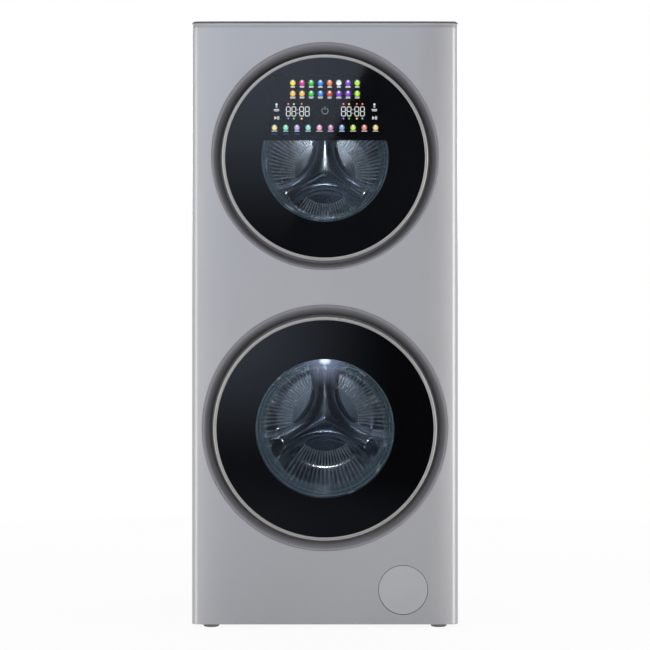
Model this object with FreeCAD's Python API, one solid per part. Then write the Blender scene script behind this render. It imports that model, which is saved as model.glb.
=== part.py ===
import FreeCAD, Part

import math
import os

V = FreeCAD.Vector

# Stack of two front-loading drums in one cabinet: a wash-and-dry drum above a larger wash drum.
# Millimetres. +X is to the viewer's right, +Y to the back, +Z up. The origin is on the floor, at the
# centre of the overall box. Each drum unit is turned about its own axis, which runs along Y.

# ---- overall sizes
WIDTH = 600.0
HEIGHT = 1365.0
DEPTH = 650.0
FRONT = -DEPTH / 2                    # front of the door trims
BACK = DEPTH / 2                      # ends of the rear hose spigots

# ---- cabinet
SHEET = 1.2                           # steel sheet
FOOT_SHOW = 7.5                       # floor to the underside of the cabinet
COVER_THICK = 5.0
COVER_CHAMFER = 3.5
DOOR_PROUD = 8.0                      # door trim ahead of the bezel rim
RIM_PROUD = 0.5                       # bezel rim ahead of the front panel
PANEL_Y = FRONT + DOOR_PROUD + RIM_PROUD
REAR_Y = BACK - 20.0                  # outer face of the rear panel
CORNER_R = 14.0                       # front vertical corners
CROWN_START = 205.0                   # half width of the flat middle of the front panel
CROWN_R = 1800.0                      # gentle crown from there to the corner
RETURN_DEPTH = 26.0                   # how far the front panel wraps round the side
JOGGLE_HEIGHT = 9.0                   # stepped strip along the top of the front panel
JOGGLE_STEP = 0.6
FIT_GAP = 0.3                         # between seated sheet and moulded parts
CABINET_TOP = HEIGHT - COVER_THICK
SIDE_FLANGE = 14.0
CROWN_DROP = CROWN_R - math.sqrt(CROWN_R ** 2 - (WIDTH / 2 - CORNER_R - CROWN_START) ** 2)
CONTROL_X = (-240.0, -40.0)           # main control box between the top rails
CONTROL_TALL = 23.0
CONTROL_CORNER_R = 3.0

# ---- base, feet and rails
BASE_HEIGHT = 28.0
BASE_WALL = 2.5
FOOT_X = 257.0
FOOT_R = 19.3
FOOT_TAPER = 4.5
FOOT_GAP = 0.2
FOOT_INSET = 6.0                      # foot edge behind the front panel's face
STUD_R = 5.0
STUD_CLEARANCE = 0.05
STUD_TOP = 34.0
BOSS_R = 11.0
RAIL_FRONT_Y = FRONT + 265.0
RAIL_REAR_Y = FRONT + 425.0
RAIL_WIDE = 30.0
RAIL_TALL = 25.0
MIDDLE_RAIL_TALL = 40.0
MIDDLE_RAIL_Z = 738.0
RAIL_DROP = 10.0                      # top rails below the top cover
RAIL_WALL = 2.0

# ---- drum units
UNITS = {
    "upper": dict(z=1057.3, ring_r=231.7, bezel_r=256.4, bezel_lift=3.9, window_r=144.0,
                  drum_r=212.0, drum_long=360.0, chord=39.0, spring_x=172.0, damper_x=170.0),
    "lower": dict(z=448.1, ring_r=251.2, bezel_r=277.4, bezel_lift=1.9, window_r=156.6,
                  drum_r=240.0, drum_long=400.0, chord=None, spring_x=180.0, damper_x=150.0),
}

# ---- door, measured back from FRONT and out from the window radius
TRIM_WIDE = 7.0
TRIM_WALL = 2.8
TRIM_LONG = 11.0
GLASS_Y = 1.0
GLASS_THICK = 4.0
FRAME_Y = GLASS_Y + GLASS_THICK
WEB_THICK = 2.0
FRAME_WALL = 3.0
FRAME_BACK = 27.0
LINER_THICK = 3.0
BOWL_FLANGE_R = 16.0
BOWL_FLANGE_THICK = 5.0
BOWL_ROOT_R = 6.0
BOWL_TIP_R = -16.0
BOWL_DEEP = 85.0
BOWL_WALL = 5.0
BOWL_TIP_FLAT = 60.0                  # radius of the flat end of the bowl
BOWL_SLOPE = 12.0                     # depth of the slope round that end

# ---- display board in the upper door
BOARD_HALF_WIDE = 126.0
BOARD_LOW = 45.0
BOARD_HIGH = 186.0

# ---- bezel dish
DISH_DEEP = 32.0                      # rim to floor
DISH_GAP = 5.0                        # floor radius beyond the door trim
BEZEL_WALL = 2.5
BEZEL_LAND = 1.6                      # flat width of the rim
BEZEL_FLANGE = 7.0
BEZEL_SLACK = 0.4
FLOOR_Y = FRONT + DOOR_PROUD + DISH_DEEP
MOUTH_R = 30.0                        # floor opening, beyond the window radius

# ---- door hinge and latch
PIVOT_IN = 17.0                       # pivot axis inside the trim radius
PIVOT_Y = FRONT + 12.0
PIN_R = 2.5
PIN_CLEARANCE = 0.05
KNUCKLE_R = 4.5
ARM_HALF = 12.0
LEAF_HALF = 30.0
ARM_THICK = 5.0
ARM_REACH = 24.0
ARM_PLATE = 2.0
NOTCH_HALF = 15.0
LATCH_X = 58.0                        # latch centre beyond the window radius
LATCH_LONG = 30.0
LATCH_PLATE = (24.0, 2.0, 32.0)       # along X, Y and Z
LATCH_STEM = (8.0, 12.0)              # along X and Z
LATCH_NOTCH = (16.0, 22.0)            # from and to, along the stem
LEAF_FROM = 6.0                       # door leaf, from and to, beside the pivot
LEAF_TO = 42.0
LEAF_THICK = 2.5
LEAF_OVER = 6.0                       # leaf beyond its knuckles
KNUCKLE_GAP = 0.5
PLATE_FROM = 8.0                      # bracket plate, from and to, beside the pivot
PLATE_TO = 34.0
PLATE_HALF = 26.0
PIN_OVER = 1.0                        # pin beyond the knuckles
LOCK_DEEP = 38.0
LOCK_IN = 10.0                        # lock box, either side of the latch centre
LOCK_OUT = 24.0
LOCK_HALF = 22.0
SLOT_IN = 8.0                         # slot for the latch hook
SLOT_OUT = 13.0
SLOT_HALF = 10.0
SLOT_DEEP = 24.0

# ---- gasket, tub and drum, back from FRONT
LAMP_Y = DOOR_PROUD + DISH_DEEP + 3.0
LAMP_HALF = 12.0
LAMP_IN = 31.0                        # lamp case and lens, beyond the window radius
LAMP_OUT = 44.0
LENS_IN = 24.0
LENS_HALF = 8.0
LENS_LONG = 5.8
LENS_SLACK = 0.4
GASKET_WALL = 3.0
GASKET_LIP = 16.0                     # lip, seat and fold of the gasket, beyond the window radius
GASKET_SEAT = 34.0
GASKET_FOLD = 44.0
GASKET_FIT = 0.2
TUB_FACE = 100.0
TUB_WALL = 3.0
TUB_GAP = 13.0
COLLAR_OUT = 26.0
COLLAR_LONG = 26.0
DRUM_FRONT = 108.0
DRUM_SHEET = 1.2
DRUM_MOUTH = 18.0
DRUM_EDGE = 11.0
SPIDER_THICK = 16.0
SPIDER_ARM = 34.0
SPIDER_HUB_R = 32.0
TUB_REAR_GAP = 8.0
SPLIT_FROM_FACE = 200.0               # tub face to the joint between its halves
FLANGE_OUT = 8.0
FLANGE_THICK = 4.0
LIFTER_TALL = 52.0
LIFTER_HALF = 32.0
LIFTER_TIP = 10.0
LIFTER_MARGIN = 34.0
LIFTER_ANGLES = (90.0, 210.0, 330.0)
COUNTERWEIGHT_THICK = 38.0
COUNTERWEIGHT_SPAN = 110.0
COUNTERWEIGHT_INNER = 50.0            # beyond the window radius
FLOAT = 10.0                          # tub travel each way on its springs

# ---- bearings and direct-drive motor, back from the drum's rear wall
HUB_R = 34.0
HUB_FROM = 20.0
HUB_TO = 62.0
BEARING_R = 26.0
BEARING_WIDE = 14.0
SHOULDER_R = 21.0
SHAFT_R = 15.0
RUNNING = 0.05
SHAFT_END = 82.0
STATOR_IN = 44.0
STATOR_OUT = 98.0
STATOR_THICK = 22.0
STATOR_SLOTS = 24
ROTOR_IN = 101.0
ROTOR_OUT = 112.0
ROTOR_DISC = 64.0
ROTOR_THICK = 3.0

# ---- suspension
SPRING_R = 11.0
SPRING_BORE = 8.0
HOOK_R = 2.0
EAR_WIDE = 22.0
EAR_THICK = 8.0
DAMPER_R = 13.0
DAMPER_ROD_R = 5.0
DAMPER_BORE = 5.5
DAMPER_LONG = 74.0

# ---- drain filter and pump
FILTER_X = 175.7
FILTER_Z = 85.1
FILTER_COVER_R = 54.8
FILTER_HOLE_GAP = 1.2
COVER_DISC = 2.0
POCKET_R = FILTER_COVER_R + 3.7
POCKET_WALL = 2.5
POCKET_DEEP = 50.0
CAP_R = 34.0
CAP_GRIP = 20.0
CHAMBER_R = 27.0
CHAMBER_WALL = 3.0
CHAMBER_LONG = 120.0
VOLUTE_R = 42.0
VOLUTE_LONG = 30.0
PUMP_MOTOR_R = 30.0
PUMP_MOTOR_LONG = 48.0
SNAP_LEG = 9.0
SNAP_THICK = 2.0
SNAP_HALF = 6.0
SNAP_IN = 4.0                         # outer face of a snap leg inside the cover's edge
SNAP_ANGLES = (90.0, 210.0, 330.0)
LEDGE_THICK = 2.0                     # ring in the pocket that the cover sits on
LEDGE_IN = 3.6                        # ledge bore inside the cover's edge
CAP_THICK = 8.0
CAP_GAP = 0.2                         # cap to the pocket's floor
GRIP_THICK = 10.0
GRIP_WIDE = 52.0
STRAINER_GAP = 0.6
STRAINER_WALL = 3.0
STRAINER_LONG = 90.0
STRAINER_END = 4.0
STRAINER_SLOT = 8.0
STRAINER_PITCH = 16.0
STRAINER_FIRST = 22.0
VOLUTE_WALL = 6.0
PUMP_FOOT = 44.0
PUMP_FOOT_IN = 2.0                    # foot inside the volute's faces
OUTLET_R = 14.0
OUTLET_LONG = 36.0
OUTLET_AT = (-26.0, 20.0)             # beside and above the pump's axis

# ---- dryer duct on the upper tub
FAN_X = 212.0
FAN_Y = FRONT + 475.0
FAN_HOUSING_R = 60.0
FAN_LOW = 1238.0
FAN_HIGH = 1296.0
FAN_R = 52.0
FAN_TALL = 44.0
FAN_BLADES = 16
FAN_CLEARANCE = 3.0                   # fan to its housing
FAN_PLATE = 3.0
FAN_HUB_R = 10.0
FAN_HUB_LONG = 18.0
BLADE_IN = 30.0
BLADE_EDGE = 0.5                      # blades inside the backplate's edge
BLADE_THICK = 2.0
DUCT_WALL = 2.0
DUCT_X = (194.0, 260.0)
DUCT_LOW = 1250.0
DUCT_FRONT_Y = FRONT + 175.0
DUCT_LEG = 40.0
INLET_LEG_R = 28.0
DRYER_MOTOR_R = 26.0
DRYER_MOTOR_TALL = 14.0
DRYER_SHAFT_R = 4.0

# ---- rear connections
SPIGOT_SHOULDER = 1.0                 # shoulder beyond the rear panel
INLET_SPIGOT_R = 13.2
DRAIN_SPIGOT_R = 11.0
DRAIN_BORE = 8.5
INLET_X = (-170.0, -115.0)
INLET_Z = 1288.0
DRAIN_AT = (-235.0, 1180.0)
GLAND_AT = (-235.0, 1288.0)
GLAND_R = 12.0
GLAND_BORE = 4.2
GLAND_OUT = 13.0
FITTING_ROOT_R = 13.9
FITTING_HOLE_R = 14.0
FITTING_GAP = 0.2                     # flange to the rear sheet
FLANGE_LONG = 3.0
DRAIN_FLANGE_R = 20.0
DRAIN_TAIL = 30.0                     # hose tail inside the cabinet
GLAND_FLANGE_R = 18.0
VALVE_SIDE = 20.0                     # valve body beyond its spigots' axes
VALVE_DEEP = 34.0


def box(x0, x1, y0, y1, z0, z1):
    """A box between two corners."""
    return Part.makeBox(x1 - x0, y1 - y0, z1 - z0, V(x0, y0, z0))


def rod(radius, y0, y1, x=0.0, z=0.0):
    """A cylinder along Y."""
    return Part.makeCylinder(radius, y1 - y0, V(x, y0, z), V(0, 1, 0))


def post(radius, z0, z1, x=0.0, y=0.0):
    """A cylinder along Z."""
    return Part.makeCylinder(radius, z1 - z0, V(x, y, z0))


def ring(outer, inner, y0, y1, x=0.0, z=0.0):
    """A plain ring about an axis along Y."""
    return rod(outer, y0, y1, x, z).cut(rod(inner, y0 - 1, y1 + 1, x, z))


def turned(points, z):
    """The outline of (radius, y) points turned about the axis along Y at height z."""
    corners = [V(r, y, z) for r, y in points]
    face = Part.Face(Part.makePolygon(corners + [corners[0]]))
    return face.revolve(V(0, 0, z), V(0, 1, 0), 360)


def prism(points, y0, y1):
    """An outline of (x, z) points, drawn out along Y."""
    corners = [V(x, y0, z) for x, z in points]
    return Part.Face(Part.makePolygon(corners + [corners[0]])).extrude(V(0, y1 - y0, 0))


def slab(points, z0, z1):
    """An outline of (x, y) points, drawn up along Z."""
    corners = [V(x, y, z0) for x, y in points]
    return Part.Face(Part.makePolygon(corners + [corners[0]])).extrude(V(0, 0, z1 - z0))


def joined(shapes):
    """One solid from touching shapes."""
    whole = shapes[0].fuse(shapes[1:]) if len(shapes) > 1 else shapes[0]
    return whole.removeSplitter()


def save(name, shapes):
    """Writes one sub-part, of one or more solids."""
    solids = [s for shape in shapes for s in shape.Solids]
    for solid in solids:
        if not solid.isValid():
            raise ValueError(f"{name} has an invalid solid")
    whole = solids[0] if len(solids) == 1 else Part.makeCompound(solids)
    whole.exportStep(f"parts/{name}.step")


def plan(inset):
    """The cabinet's outline seen from above, moved inwards by inset, as a face at z = 0."""
    half = WIDTH / 2 - inset
    crown_y = PANEL_Y + CROWN_R
    corner_x = WIDTH / 2 - CORNER_R
    corner_y = crown_y - math.sqrt((CROWN_R - CORNER_R) ** 2 - (corner_x - CROWN_START) ** 2)
    lean = math.atan2(corner_x - CROWN_START, crown_y - corner_y)
    crown_r = CROWN_R - inset
    corner_r = CORNER_R - inset
    back = REAR_Y - inset

    def crown(side, angle):
        return V(side * (CROWN_START + crown_r * math.sin(angle)), crown_y - crown_r * math.cos(angle), 0)

    def corner(side, angle):
        return V(side * (corner_x + corner_r * math.sin(angle)), corner_y - corner_r * math.cos(angle), 0)

    edges = [Part.LineSegment(crown(-1, 0), crown(1, 0))]
    middle = (lean + math.pi / 2) / 2
    edges.append(Part.Arc(crown(1, 0), crown(1, lean / 2), crown(1, lean)))
    edges.append(Part.Arc(crown(1, lean), corner(1, middle), corner(1, math.pi / 2)))
    edges.append(Part.LineSegment(corner(1, math.pi / 2), V(half, back, 0)))
    edges.append(Part.LineSegment(V(half, back, 0), V(-half, back, 0)))
    edges.append(Part.LineSegment(V(-half, back, 0), corner(-1, math.pi / 2)))
    edges.append(Part.Arc(corner(-1, math.pi / 2), corner(-1, middle), crown(-1, lean)))
    edges.append(Part.Arc(crown(-1, lean), crown(-1, lean / 2), crown(-1, 0)))
    return Part.Face(Part.Wire([e.toShape() for e in edges]))


def plan_block(inset, z0, z1):
    """A block of the cabinet's outline between two heights."""
    face = plan(inset)
    face.translate(V(0, 0, z0))
    return face.extrude(V(0, 0, z1 - z0))


# ---- cabinet

def front_panel():
    """The full-height front sheet, wrapped round both sides, with a step along its top."""
    step_z = CABINET_TOP - JOGGLE_HEIGHT
    main = plan_block(0, FOOT_SHOW, step_z).cut(plan_block(SHEET, FOOT_SHOW - 1, step_z + 1))
    strip = plan_block(JOGGLE_STEP, step_z, CABINET_TOP)
    strip = strip.cut(plan_block(JOGGLE_STEP + SHEET, step_z - 1, CABINET_TOP + 1))
    panel = joined([main, strip])
    panel = panel.cut(box(-WIDTH, WIDTH, PANEL_Y + RETURN_DEPTH, BACK, 0, HEIGHT))
    for u in UNITS.values():
        panel = panel.cut(rod(u["bezel_r"], FRONT, PANEL_Y + RETURN_DEPTH - 2, 0, u["z"] + u["bezel_lift"]))
    hole_r = FILTER_COVER_R + FILTER_HOLE_GAP
    panel = panel.cut(rod(hole_r, FRONT, PANEL_Y + RETURN_DEPTH - 2, FILTER_X, FILTER_Z))
    save("front_panel", [panel])


def side_panels():
    """Left and right sheets behind the front panel's wrap, each with a flange for the rear panel."""
    for name, side in (("side_panel_left", -1), ("side_panel_right", 1)):
        outer, inner = side * WIDTH / 2, side * (WIDTH / 2 - SHEET)
        tip = side * (WIDTH / 2 - SHEET - SIDE_FLANGE)
        wall = box(min(outer, inner), max(outer, inner), PANEL_Y + RETURN_DEPTH + FIT_GAP, REAR_Y,
                   FOOT_SHOW, CABINET_TOP)
        flange = box(min(outer, tip), max(outer, tip), REAR_Y - SHEET, REAR_Y, FOOT_SHOW, CABINET_TOP)
        save(name, [joined([wall, flange])])


def rear_panel():
    """The rear sheet, between the side panels' flanges, with holes for the connections."""
    half = WIDTH / 2 - SHEET - SIDE_FLANGE - FIT_GAP
    sheet = box(-half, half, REAR_Y - SHEET, REAR_Y, FOOT_SHOW, CABINET_TOP)
    for x, z in [(x, INLET_Z) for x in INLET_X] + [DRAIN_AT, GLAND_AT]:
        sheet = sheet.cut(rod(FITTING_HOLE_R, REAR_Y - 5, REAR_Y + 5, x, z))
    save("rear_panel", [sheet])


def top_cover():
    """The dark lid, with a chamfer along its upper edge."""
    plate = plan_block(0, CABINET_TOP, HEIGHT)
    rim = [e for e in plate.Edges if all(abs(v.Z - HEIGHT) < 1e-6 for v in e.Vertexes)]
    save("top_cover", [plate.makeChamfer(COVER_CHAMFER, rim)])


def base_frame():
    """The base tray, with a boss for each foot and a bay for the filter pocket."""
    top = FOOT_SHOW + BASE_HEIGHT
    inset = SHEET + FIT_GAP
    tray = plan_block(inset, FOOT_SHOW, top)
    tray = tray.cut(plan_block(inset + BASE_WALL, FOOT_SHOW + BASE_WALL, top + 1))
    for x, y in foot_places():
        tray = tray.fuse(post(BOSS_R, FOOT_SHOW, STUD_TOP, x, y))
    bay = POCKET_R + POCKET_WALL + 2 * FIT_GAP
    tray = tray.cut(box(FILTER_X - bay, FILTER_X + bay, FRONT, PANEL_Y + POCKET_DEEP + 3, 0, top + 1))
    for x, y in foot_places():
        tray = tray.cut(post(STUD_R + STUD_CLEARANCE, 0, STUD_TOP + 1, x, y))
    save("base_frame", [tray.removeSplitter()])


def foot_places():
    """Where the four feet stand: front left, front right, rear left, rear right."""
    front_y = PANEL_Y + FOOT_INSET + FOOT_R
    rear_y = REAR_Y - FOOT_INSET - FOOT_R
    return [(-FOOT_X, front_y), (FOOT_X, front_y), (-FOOT_X, rear_y), (FOOT_X, rear_y)]


def feet():
    """Four levelling feet: a tapered pad on a stud."""
    names = ("foot_front_left", "foot_front_right", "foot_rear_left", "foot_rear_right")
    pad_top = FOOT_SHOW - FOOT_GAP
    for name, (x, y) in zip(names, foot_places()):
        pad = Part.makeCone(FOOT_R - FOOT_TAPER, FOOT_R, pad_top, V(x, y, 0))
        save(name, [joined([pad, post(STUD_R, pad_top - 1, STUD_TOP, x, y)])])


def cross_rails():
    """Two box rails under the lid and two between the drum units."""
    half = WIDTH / 2 - SHEET - FIT_GAP
    top = CABINET_TOP - RAIL_DROP
    rails = []
    for low, tall in ((top - RAIL_TALL, RAIL_TALL), (MIDDLE_RAIL_Z, MIDDLE_RAIL_TALL)):
        for y in (RAIL_FRONT_Y, RAIL_REAR_Y):
            near, far = y - RAIL_WIDE / 2, y + RAIL_WIDE / 2
            tube = box(-half, half, near, far, low, low + tall)
            bore = box(-half - 1, half + 1, near + RAIL_WALL, far - RAIL_WALL,
                       low + RAIL_WALL, low + tall - RAIL_WALL)
            rails.append(tube.cut(bore))
    save("cross_rails", rails)


def control_box():
    """The main control box, held between the two top rails."""
    top = CABINET_TOP - RAIL_DROP
    shell = box(CONTROL_X[0], CONTROL_X[1], RAIL_FRONT_Y + RAIL_WIDE / 2, RAIL_REAR_Y - RAIL_WIDE / 2,
                top - CONTROL_TALL, top)
    upright = [e for e in shell.Edges if abs(e.tangentAt(0).z) > 0.9]
    save("control_box", [shell.makeFillet(CONTROL_CORNER_R, upright)])


# ---- bezels and gaskets

def bezel(name, u):
    """The dished ring round a door. Its rim circle sits a little higher than the door's axis."""
    lift = u["z"] + u["bezel_lift"]
    rim_y = FRONT + DOOR_PROUD
    floor_r = u["ring_r"] + DISH_GAP
    flange_y = PANEL_Y + CROWN_DROP + SHEET + FIT_GAP
    rim_r = u["bezel_r"] - BEZEL_SLACK

    def disc(radius, y, z):
        return Part.Wire([Part.makeCircle(radius, V(0, y, z), V(0, 1, 0))])

    rim = rod(rim_r, rim_y, flange_y + BEZEL_WALL, 0, lift)
    flange = rod(u["bezel_r"] + BEZEL_FLANGE, flange_y, flange_y + BEZEL_WALL, 0, lift)
    cone = Part.makeLoft([disc(rim_r, flange_y + BEZEL_WALL, lift),
                          disc(floor_r + BEZEL_WALL, FLOOR_Y + BEZEL_WALL, u["z"])], True, True)
    hollow = Part.makeLoft([disc(rim_r - BEZEL_LAND, rim_y, lift), disc(floor_r, FLOOR_Y, u["z"])], True, True)
    body = rim.fuse([flange, cone]).cut(hollow)
    body = body.cut(rod(u["window_r"] + MOUTH_R, FRONT, FLOOR_Y + 10, 0, u["z"]))
    latch = u["window_r"] + LATCH_X
    body = body.cut(box(latch - SLOT_IN, latch + SLOT_OUT, FLOOR_Y - 5, FLOOR_Y + 10,
                        u["z"] - SLOT_HALF, u["z"] + SLOT_HALF))
    save(f"{name}_bezel", [body.removeSplitter()])


def gasket(name, u):
    """The rubber bellows from the bezel floor to the tub's collar, with a lip for the door and a lamp window."""
    w, z = u["window_r"], u["z"]
    floor = FLOOR_Y - FRONT
    lip_y = FRAME_BACK + LINER_THICK + FIT_GAP
    neck = MOUTH_R - FIT_GAP
    cuff = COLLAR_OUT + FIT_GAP
    end = TUB_FACE - 12
    wall, fold = GASKET_WALL, GASKET_FOLD
    profile = [
        (GASKET_LIP, lip_y), (GASKET_SEAT, lip_y), (GASKET_SEAT, floor - GASKET_FIT), (neck, floor - GASKET_FIT),
        (neck, floor + 10), (fold, floor + 15), (fold, floor + 29), (cuff + wall, floor + 34), (cuff + wall, end),
        (cuff, end), (cuff, floor + 31.5), (fold - wall, floor + 26.7), (fold - wall, floor + 17.3),
        (neck - wall, floor + 12.3), (neck - wall, floor), (GASKET_LIP, floor - 6),
    ]
    sleeve = turned([(w + r, FRONT + y) for r, y in profile], z)
    half = LENS_HALF + LENS_SLACK
    low, high = FRONT + LAMP_Y, FRONT + LAMP_Y + LENS_LONG + 2 * LENS_SLACK
    save(f"{name}_gasket", [sleeve.cut(box(-half, half, low, high, z + w, z + w + GASKET_SEAT + 1))])


def drum_lamps():
    """A lamp above each drum's mouth, on the back of the bezel floor, with its lens through the gasket."""
    lamps = []
    for u in UNITS.values():
        low = u["z"] + u["window_r"]
        front = FRONT + LAMP_Y + LENS_SLACK
        case = box(-LAMP_HALF, LAMP_HALF, FLOOR_Y + BEZEL_WALL, front + LENS_LONG + 1, low + LAMP_IN, low + LAMP_OUT)
        lens = box(-LENS_HALF, LENS_HALF, front, front + LENS_LONG, low + LENS_IN, low + LAMP_IN)
        lamps.append(joined([case, lens]))
    save("drum_lamps", lamps)


# ---- doors

def door_frame(name, u):
    """The moulded channel that carries the glass, open at the back."""
    w, ring_r, z = u["window_r"], u["ring_r"], u["z"]
    outer = ring_r - TRIM_WALL - 0.2
    front, back = FRONT + FRAME_Y, FRONT + FRAME_BACK
    body = rod(outer, front, back, 0, z)
    body = body.cut(ring(outer - FRAME_WALL, w + FRAME_WALL, front + WEB_THICK, back + 1, 0, z))
    body = body.cut(rod(w, front - 1, back + 1, 0, z))
    body = body.cut(rod(w + BOWL_FLANGE_R + 1, back - BOWL_FLANGE_THICK, back + 1, 0, z))
    if u["chord"] is not None:
        bridge = rod(w + 1, front, front + WEB_THICK, 0, z)
        bridge = bridge.common(box(-w - 1, w + 1, front, front + WEB_THICK, z + u["chord"], z + w + 1))
        body = body.fuse(bridge)
        gap = FIT_GAP
        body = body.cut(box(-BOARD_HALF_WIDE - gap, BOARD_HALF_WIDE + gap, front - 1, front + WEB_THICK,
                            z + BOARD_LOW - gap, z + BOARD_HIGH + gap))
    body = body.cut(box(-ring_r, -ring_r + 12, FRONT + TRIM_LONG + 0.5, back + 1, z - NOTCH_HALF, z + NOTCH_HALF))
    save(f"{name}_door_frame", [body.removeSplitter()])


def door_trim(name, u):
    """The bright ring round the glass."""
    r = u["ring_r"]
    profile = [
        (r - TRIM_WIDE, GLASS_Y + 0.4), (r - TRIM_WIDE + 1.6, 0.2), (r - TRIM_WIDE / 2, 0), (r - 1.8, 0.3),
        (r - 0.5, 1.2), (r, 2.6), (r, TRIM_LONG), (r - TRIM_WALL, TRIM_LONG), (r - TRIM_WALL, FRAME_Y),
        (r - TRIM_WIDE, FRAME_Y),
    ]
    save(f"{name}_door_trim", [turned([(a, FRONT + y) for a, y in profile], u["z"])])


def door_glass(name, u):
    """The outer glass disc, inside the trim."""
    radius = u["ring_r"] - TRIM_WIDE - FIT_GAP
    save(f"{name}_door_glass", [rod(radius, FRONT + GLASS_Y, FRONT + FRAME_Y, 0, u["z"])])


def door_bowl(name, u):
    """The inner glass bowl, its flange clamped between the frame and the liner."""
    w = u["window_r"]
    flange_y = FRAME_BACK - BOWL_FLANGE_THICK
    tip = FRAME_BACK + BOWL_DEEP
    root, end = w + BOWL_ROOT_R, w + BOWL_TIP_R
    profile = [
        (w + BOWL_FLANGE_R, flange_y), (w + BOWL_FLANGE_R, FRAME_BACK), (root, FRAME_BACK),
        (end, tip - BOWL_SLOPE), (BOWL_TIP_FLAT, tip), (0, tip), (0, tip - BOWL_WALL),
        (BOWL_TIP_FLAT - 1, tip - BOWL_WALL), (end - BOWL_WALL, tip - BOWL_SLOPE - BOWL_WALL / 2),
        (root - BOWL_WALL, flange_y),
    ]
    save(f"{name}_door_bowl", [turned([(a, FRONT + y) for a, y in profile], u["z"])])


def door_liner(name, u):
    """The ring that closes the back of the door frame, notched for the hinge arm."""
    outer = u["ring_r"] - TRIM_WALL - 0.2
    front = FRONT + FRAME_BACK
    body = ring(outer, u["window_r"] + BOWL_ROOT_R + 1, front, front + LINER_THICK, 0, u["z"])
    pivot_x = -(u["ring_r"] - PIVOT_IN)
    body = body.cut(box(-u["ring_r"], pivot_x + ARM_REACH + 9, front - 1, front + LINER_THICK + 1,
                        u["z"] - NOTCH_HALF, u["z"] + NOTCH_HALF))
    save(f"{name}_door_liner", [body])


def door_fittings(name, u):
    """The hinge leaf with its two knuckles, and the latch hook on the opposite side."""
    z = u["z"]
    pivot_x = -(u["ring_r"] - PIVOT_IN)
    seat = FRONT + FRAME_Y + WEB_THICK
    leaf = box(pivot_x + LEAF_FROM, pivot_x + LEAF_TO, seat, seat + LEAF_THICK,
               z - LEAF_HALF - LEAF_OVER, z + LEAF_HALF + LEAF_OVER)
    parts = [leaf]
    bores = []
    for low in (z - LEAF_HALF, z + ARM_HALF + KNUCKLE_GAP):
        high = low + LEAF_HALF - ARM_HALF - KNUCKLE_GAP
        parts.append(post(KNUCKLE_R, low, high, pivot_x, PIVOT_Y))
        parts.append(box(pivot_x, pivot_x + LEAF_FROM + 2, seat + 0.6, PIVOT_Y, low, high))
        bores.append(post(PIN_R + PIN_CLEARANCE, low - 1, high + 1, pivot_x, PIVOT_Y))
    hinge = joined(parts).cut(bores[0]).cut(bores[1])

    latch = u["window_r"] + LATCH_X
    back = FRONT + FRAME_BACK + LINER_THICK
    wide, thick, tall = LATCH_PLATE
    plate = box(latch - wide / 2, latch + wide / 2, back, back + thick, z - tall / 2, z + tall / 2)
    wide, tall = LATCH_STEM
    stem = box(latch - wide / 2, latch + wide / 2, back, back + LATCH_LONG, z - tall / 2, z + tall / 2)
    notch = box(latch - wide, latch + wide, back + LATCH_NOTCH[0], back + LATCH_NOTCH[1], z + 1, z + tall)
    hook = joined([plate, stem]).cut(notch)
    save(f"{name}_door_fittings", [hinge, hook])


def hinge_brackets():
    """The fixed arm of each door hinge, seated on the bezel floor, with its pin."""
    brackets = []
    for u in UNITS.values():
        z = u["z"]
        x = -(u["ring_r"] - PIVOT_IN)
        reach = FLOOR_Y - ARM_PLATE - PIVOT_Y
        length = math.hypot(ARM_REACH, reach)
        nx, ny = reach / length * ARM_THICK / 2, -ARM_REACH / length * ARM_THICK / 2
        bar = slab([(x + nx, PIVOT_Y + ny), (x + ARM_REACH + nx, FLOOR_Y - ARM_PLATE + ny),
                    (x + ARM_REACH + nx, FLOOR_Y), (x + ARM_REACH - nx - 3, FLOOR_Y),
                    (x + ARM_REACH - nx, FLOOR_Y - ARM_PLATE - ny), (x - nx, PIVOT_Y - ny)],
                   z - ARM_HALF, z + ARM_HALF)
        knuckle = post(KNUCKLE_R, z - ARM_HALF, z + ARM_HALF, x, PIVOT_Y)
        plate = box(x + PLATE_FROM, x + PLATE_TO, FLOOR_Y - ARM_PLATE, FLOOR_Y, z - PLATE_HALF, z + PLATE_HALF)
        pin = post(PIN_R, z - LEAF_HALF - PIN_OVER, z + LEAF_HALF + PIN_OVER, x, PIVOT_Y)
        brackets.append(joined([bar, knuckle, plate, pin]))
    save("hinge_brackets", brackets)


def door_locks():
    """The lock box behind each bezel floor, with the slot that takes the latch hook."""
    locks = []
    for u in UNITS.values():
        x, z, y = u["window_r"] + LATCH_X, u["z"], FLOOR_Y + BEZEL_WALL
        case = box(x - LOCK_IN, x + LOCK_OUT, y, y + LOCK_DEEP, z - LOCK_HALF, z + LOCK_HALF)
        slot = box(x - SLOT_IN, x + SLOT_OUT, y - 1, y + SLOT_DEEP, z - SLOT_HALF, z + SLOT_HALF)
        locks.append(case.cut(slot))
    save("door_locks", locks)


def display_board():
    """The touch display's board, set in the upper door frame's web behind the glass."""
    z = UNITS["upper"]["z"]
    front = FRONT + FRAME_Y
    save("display_board", [box(-BOARD_HALF_WIDE, BOARD_HALF_WIDE, front, front + WEB_THICK,
                               z + BOARD_LOW, z + BOARD_HIGH)])


# ---- tubs and drums

def stations(u):
    """Places along Y for one drum unit."""
    drum_front = FRONT + DRUM_FRONT
    drum_back = drum_front + u["drum_long"]
    rear_in = drum_back + SPIDER_THICK + TUB_REAR_GAP
    return drum_front, drum_back, rear_in, FRONT + TUB_FACE + SPLIT_FROM_FACE


def tub_radii(u):
    """Inner and outer radius of a tub."""
    inner = u["drum_r"] + TUB_GAP
    return inner, inner + TUB_WALL


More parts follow.
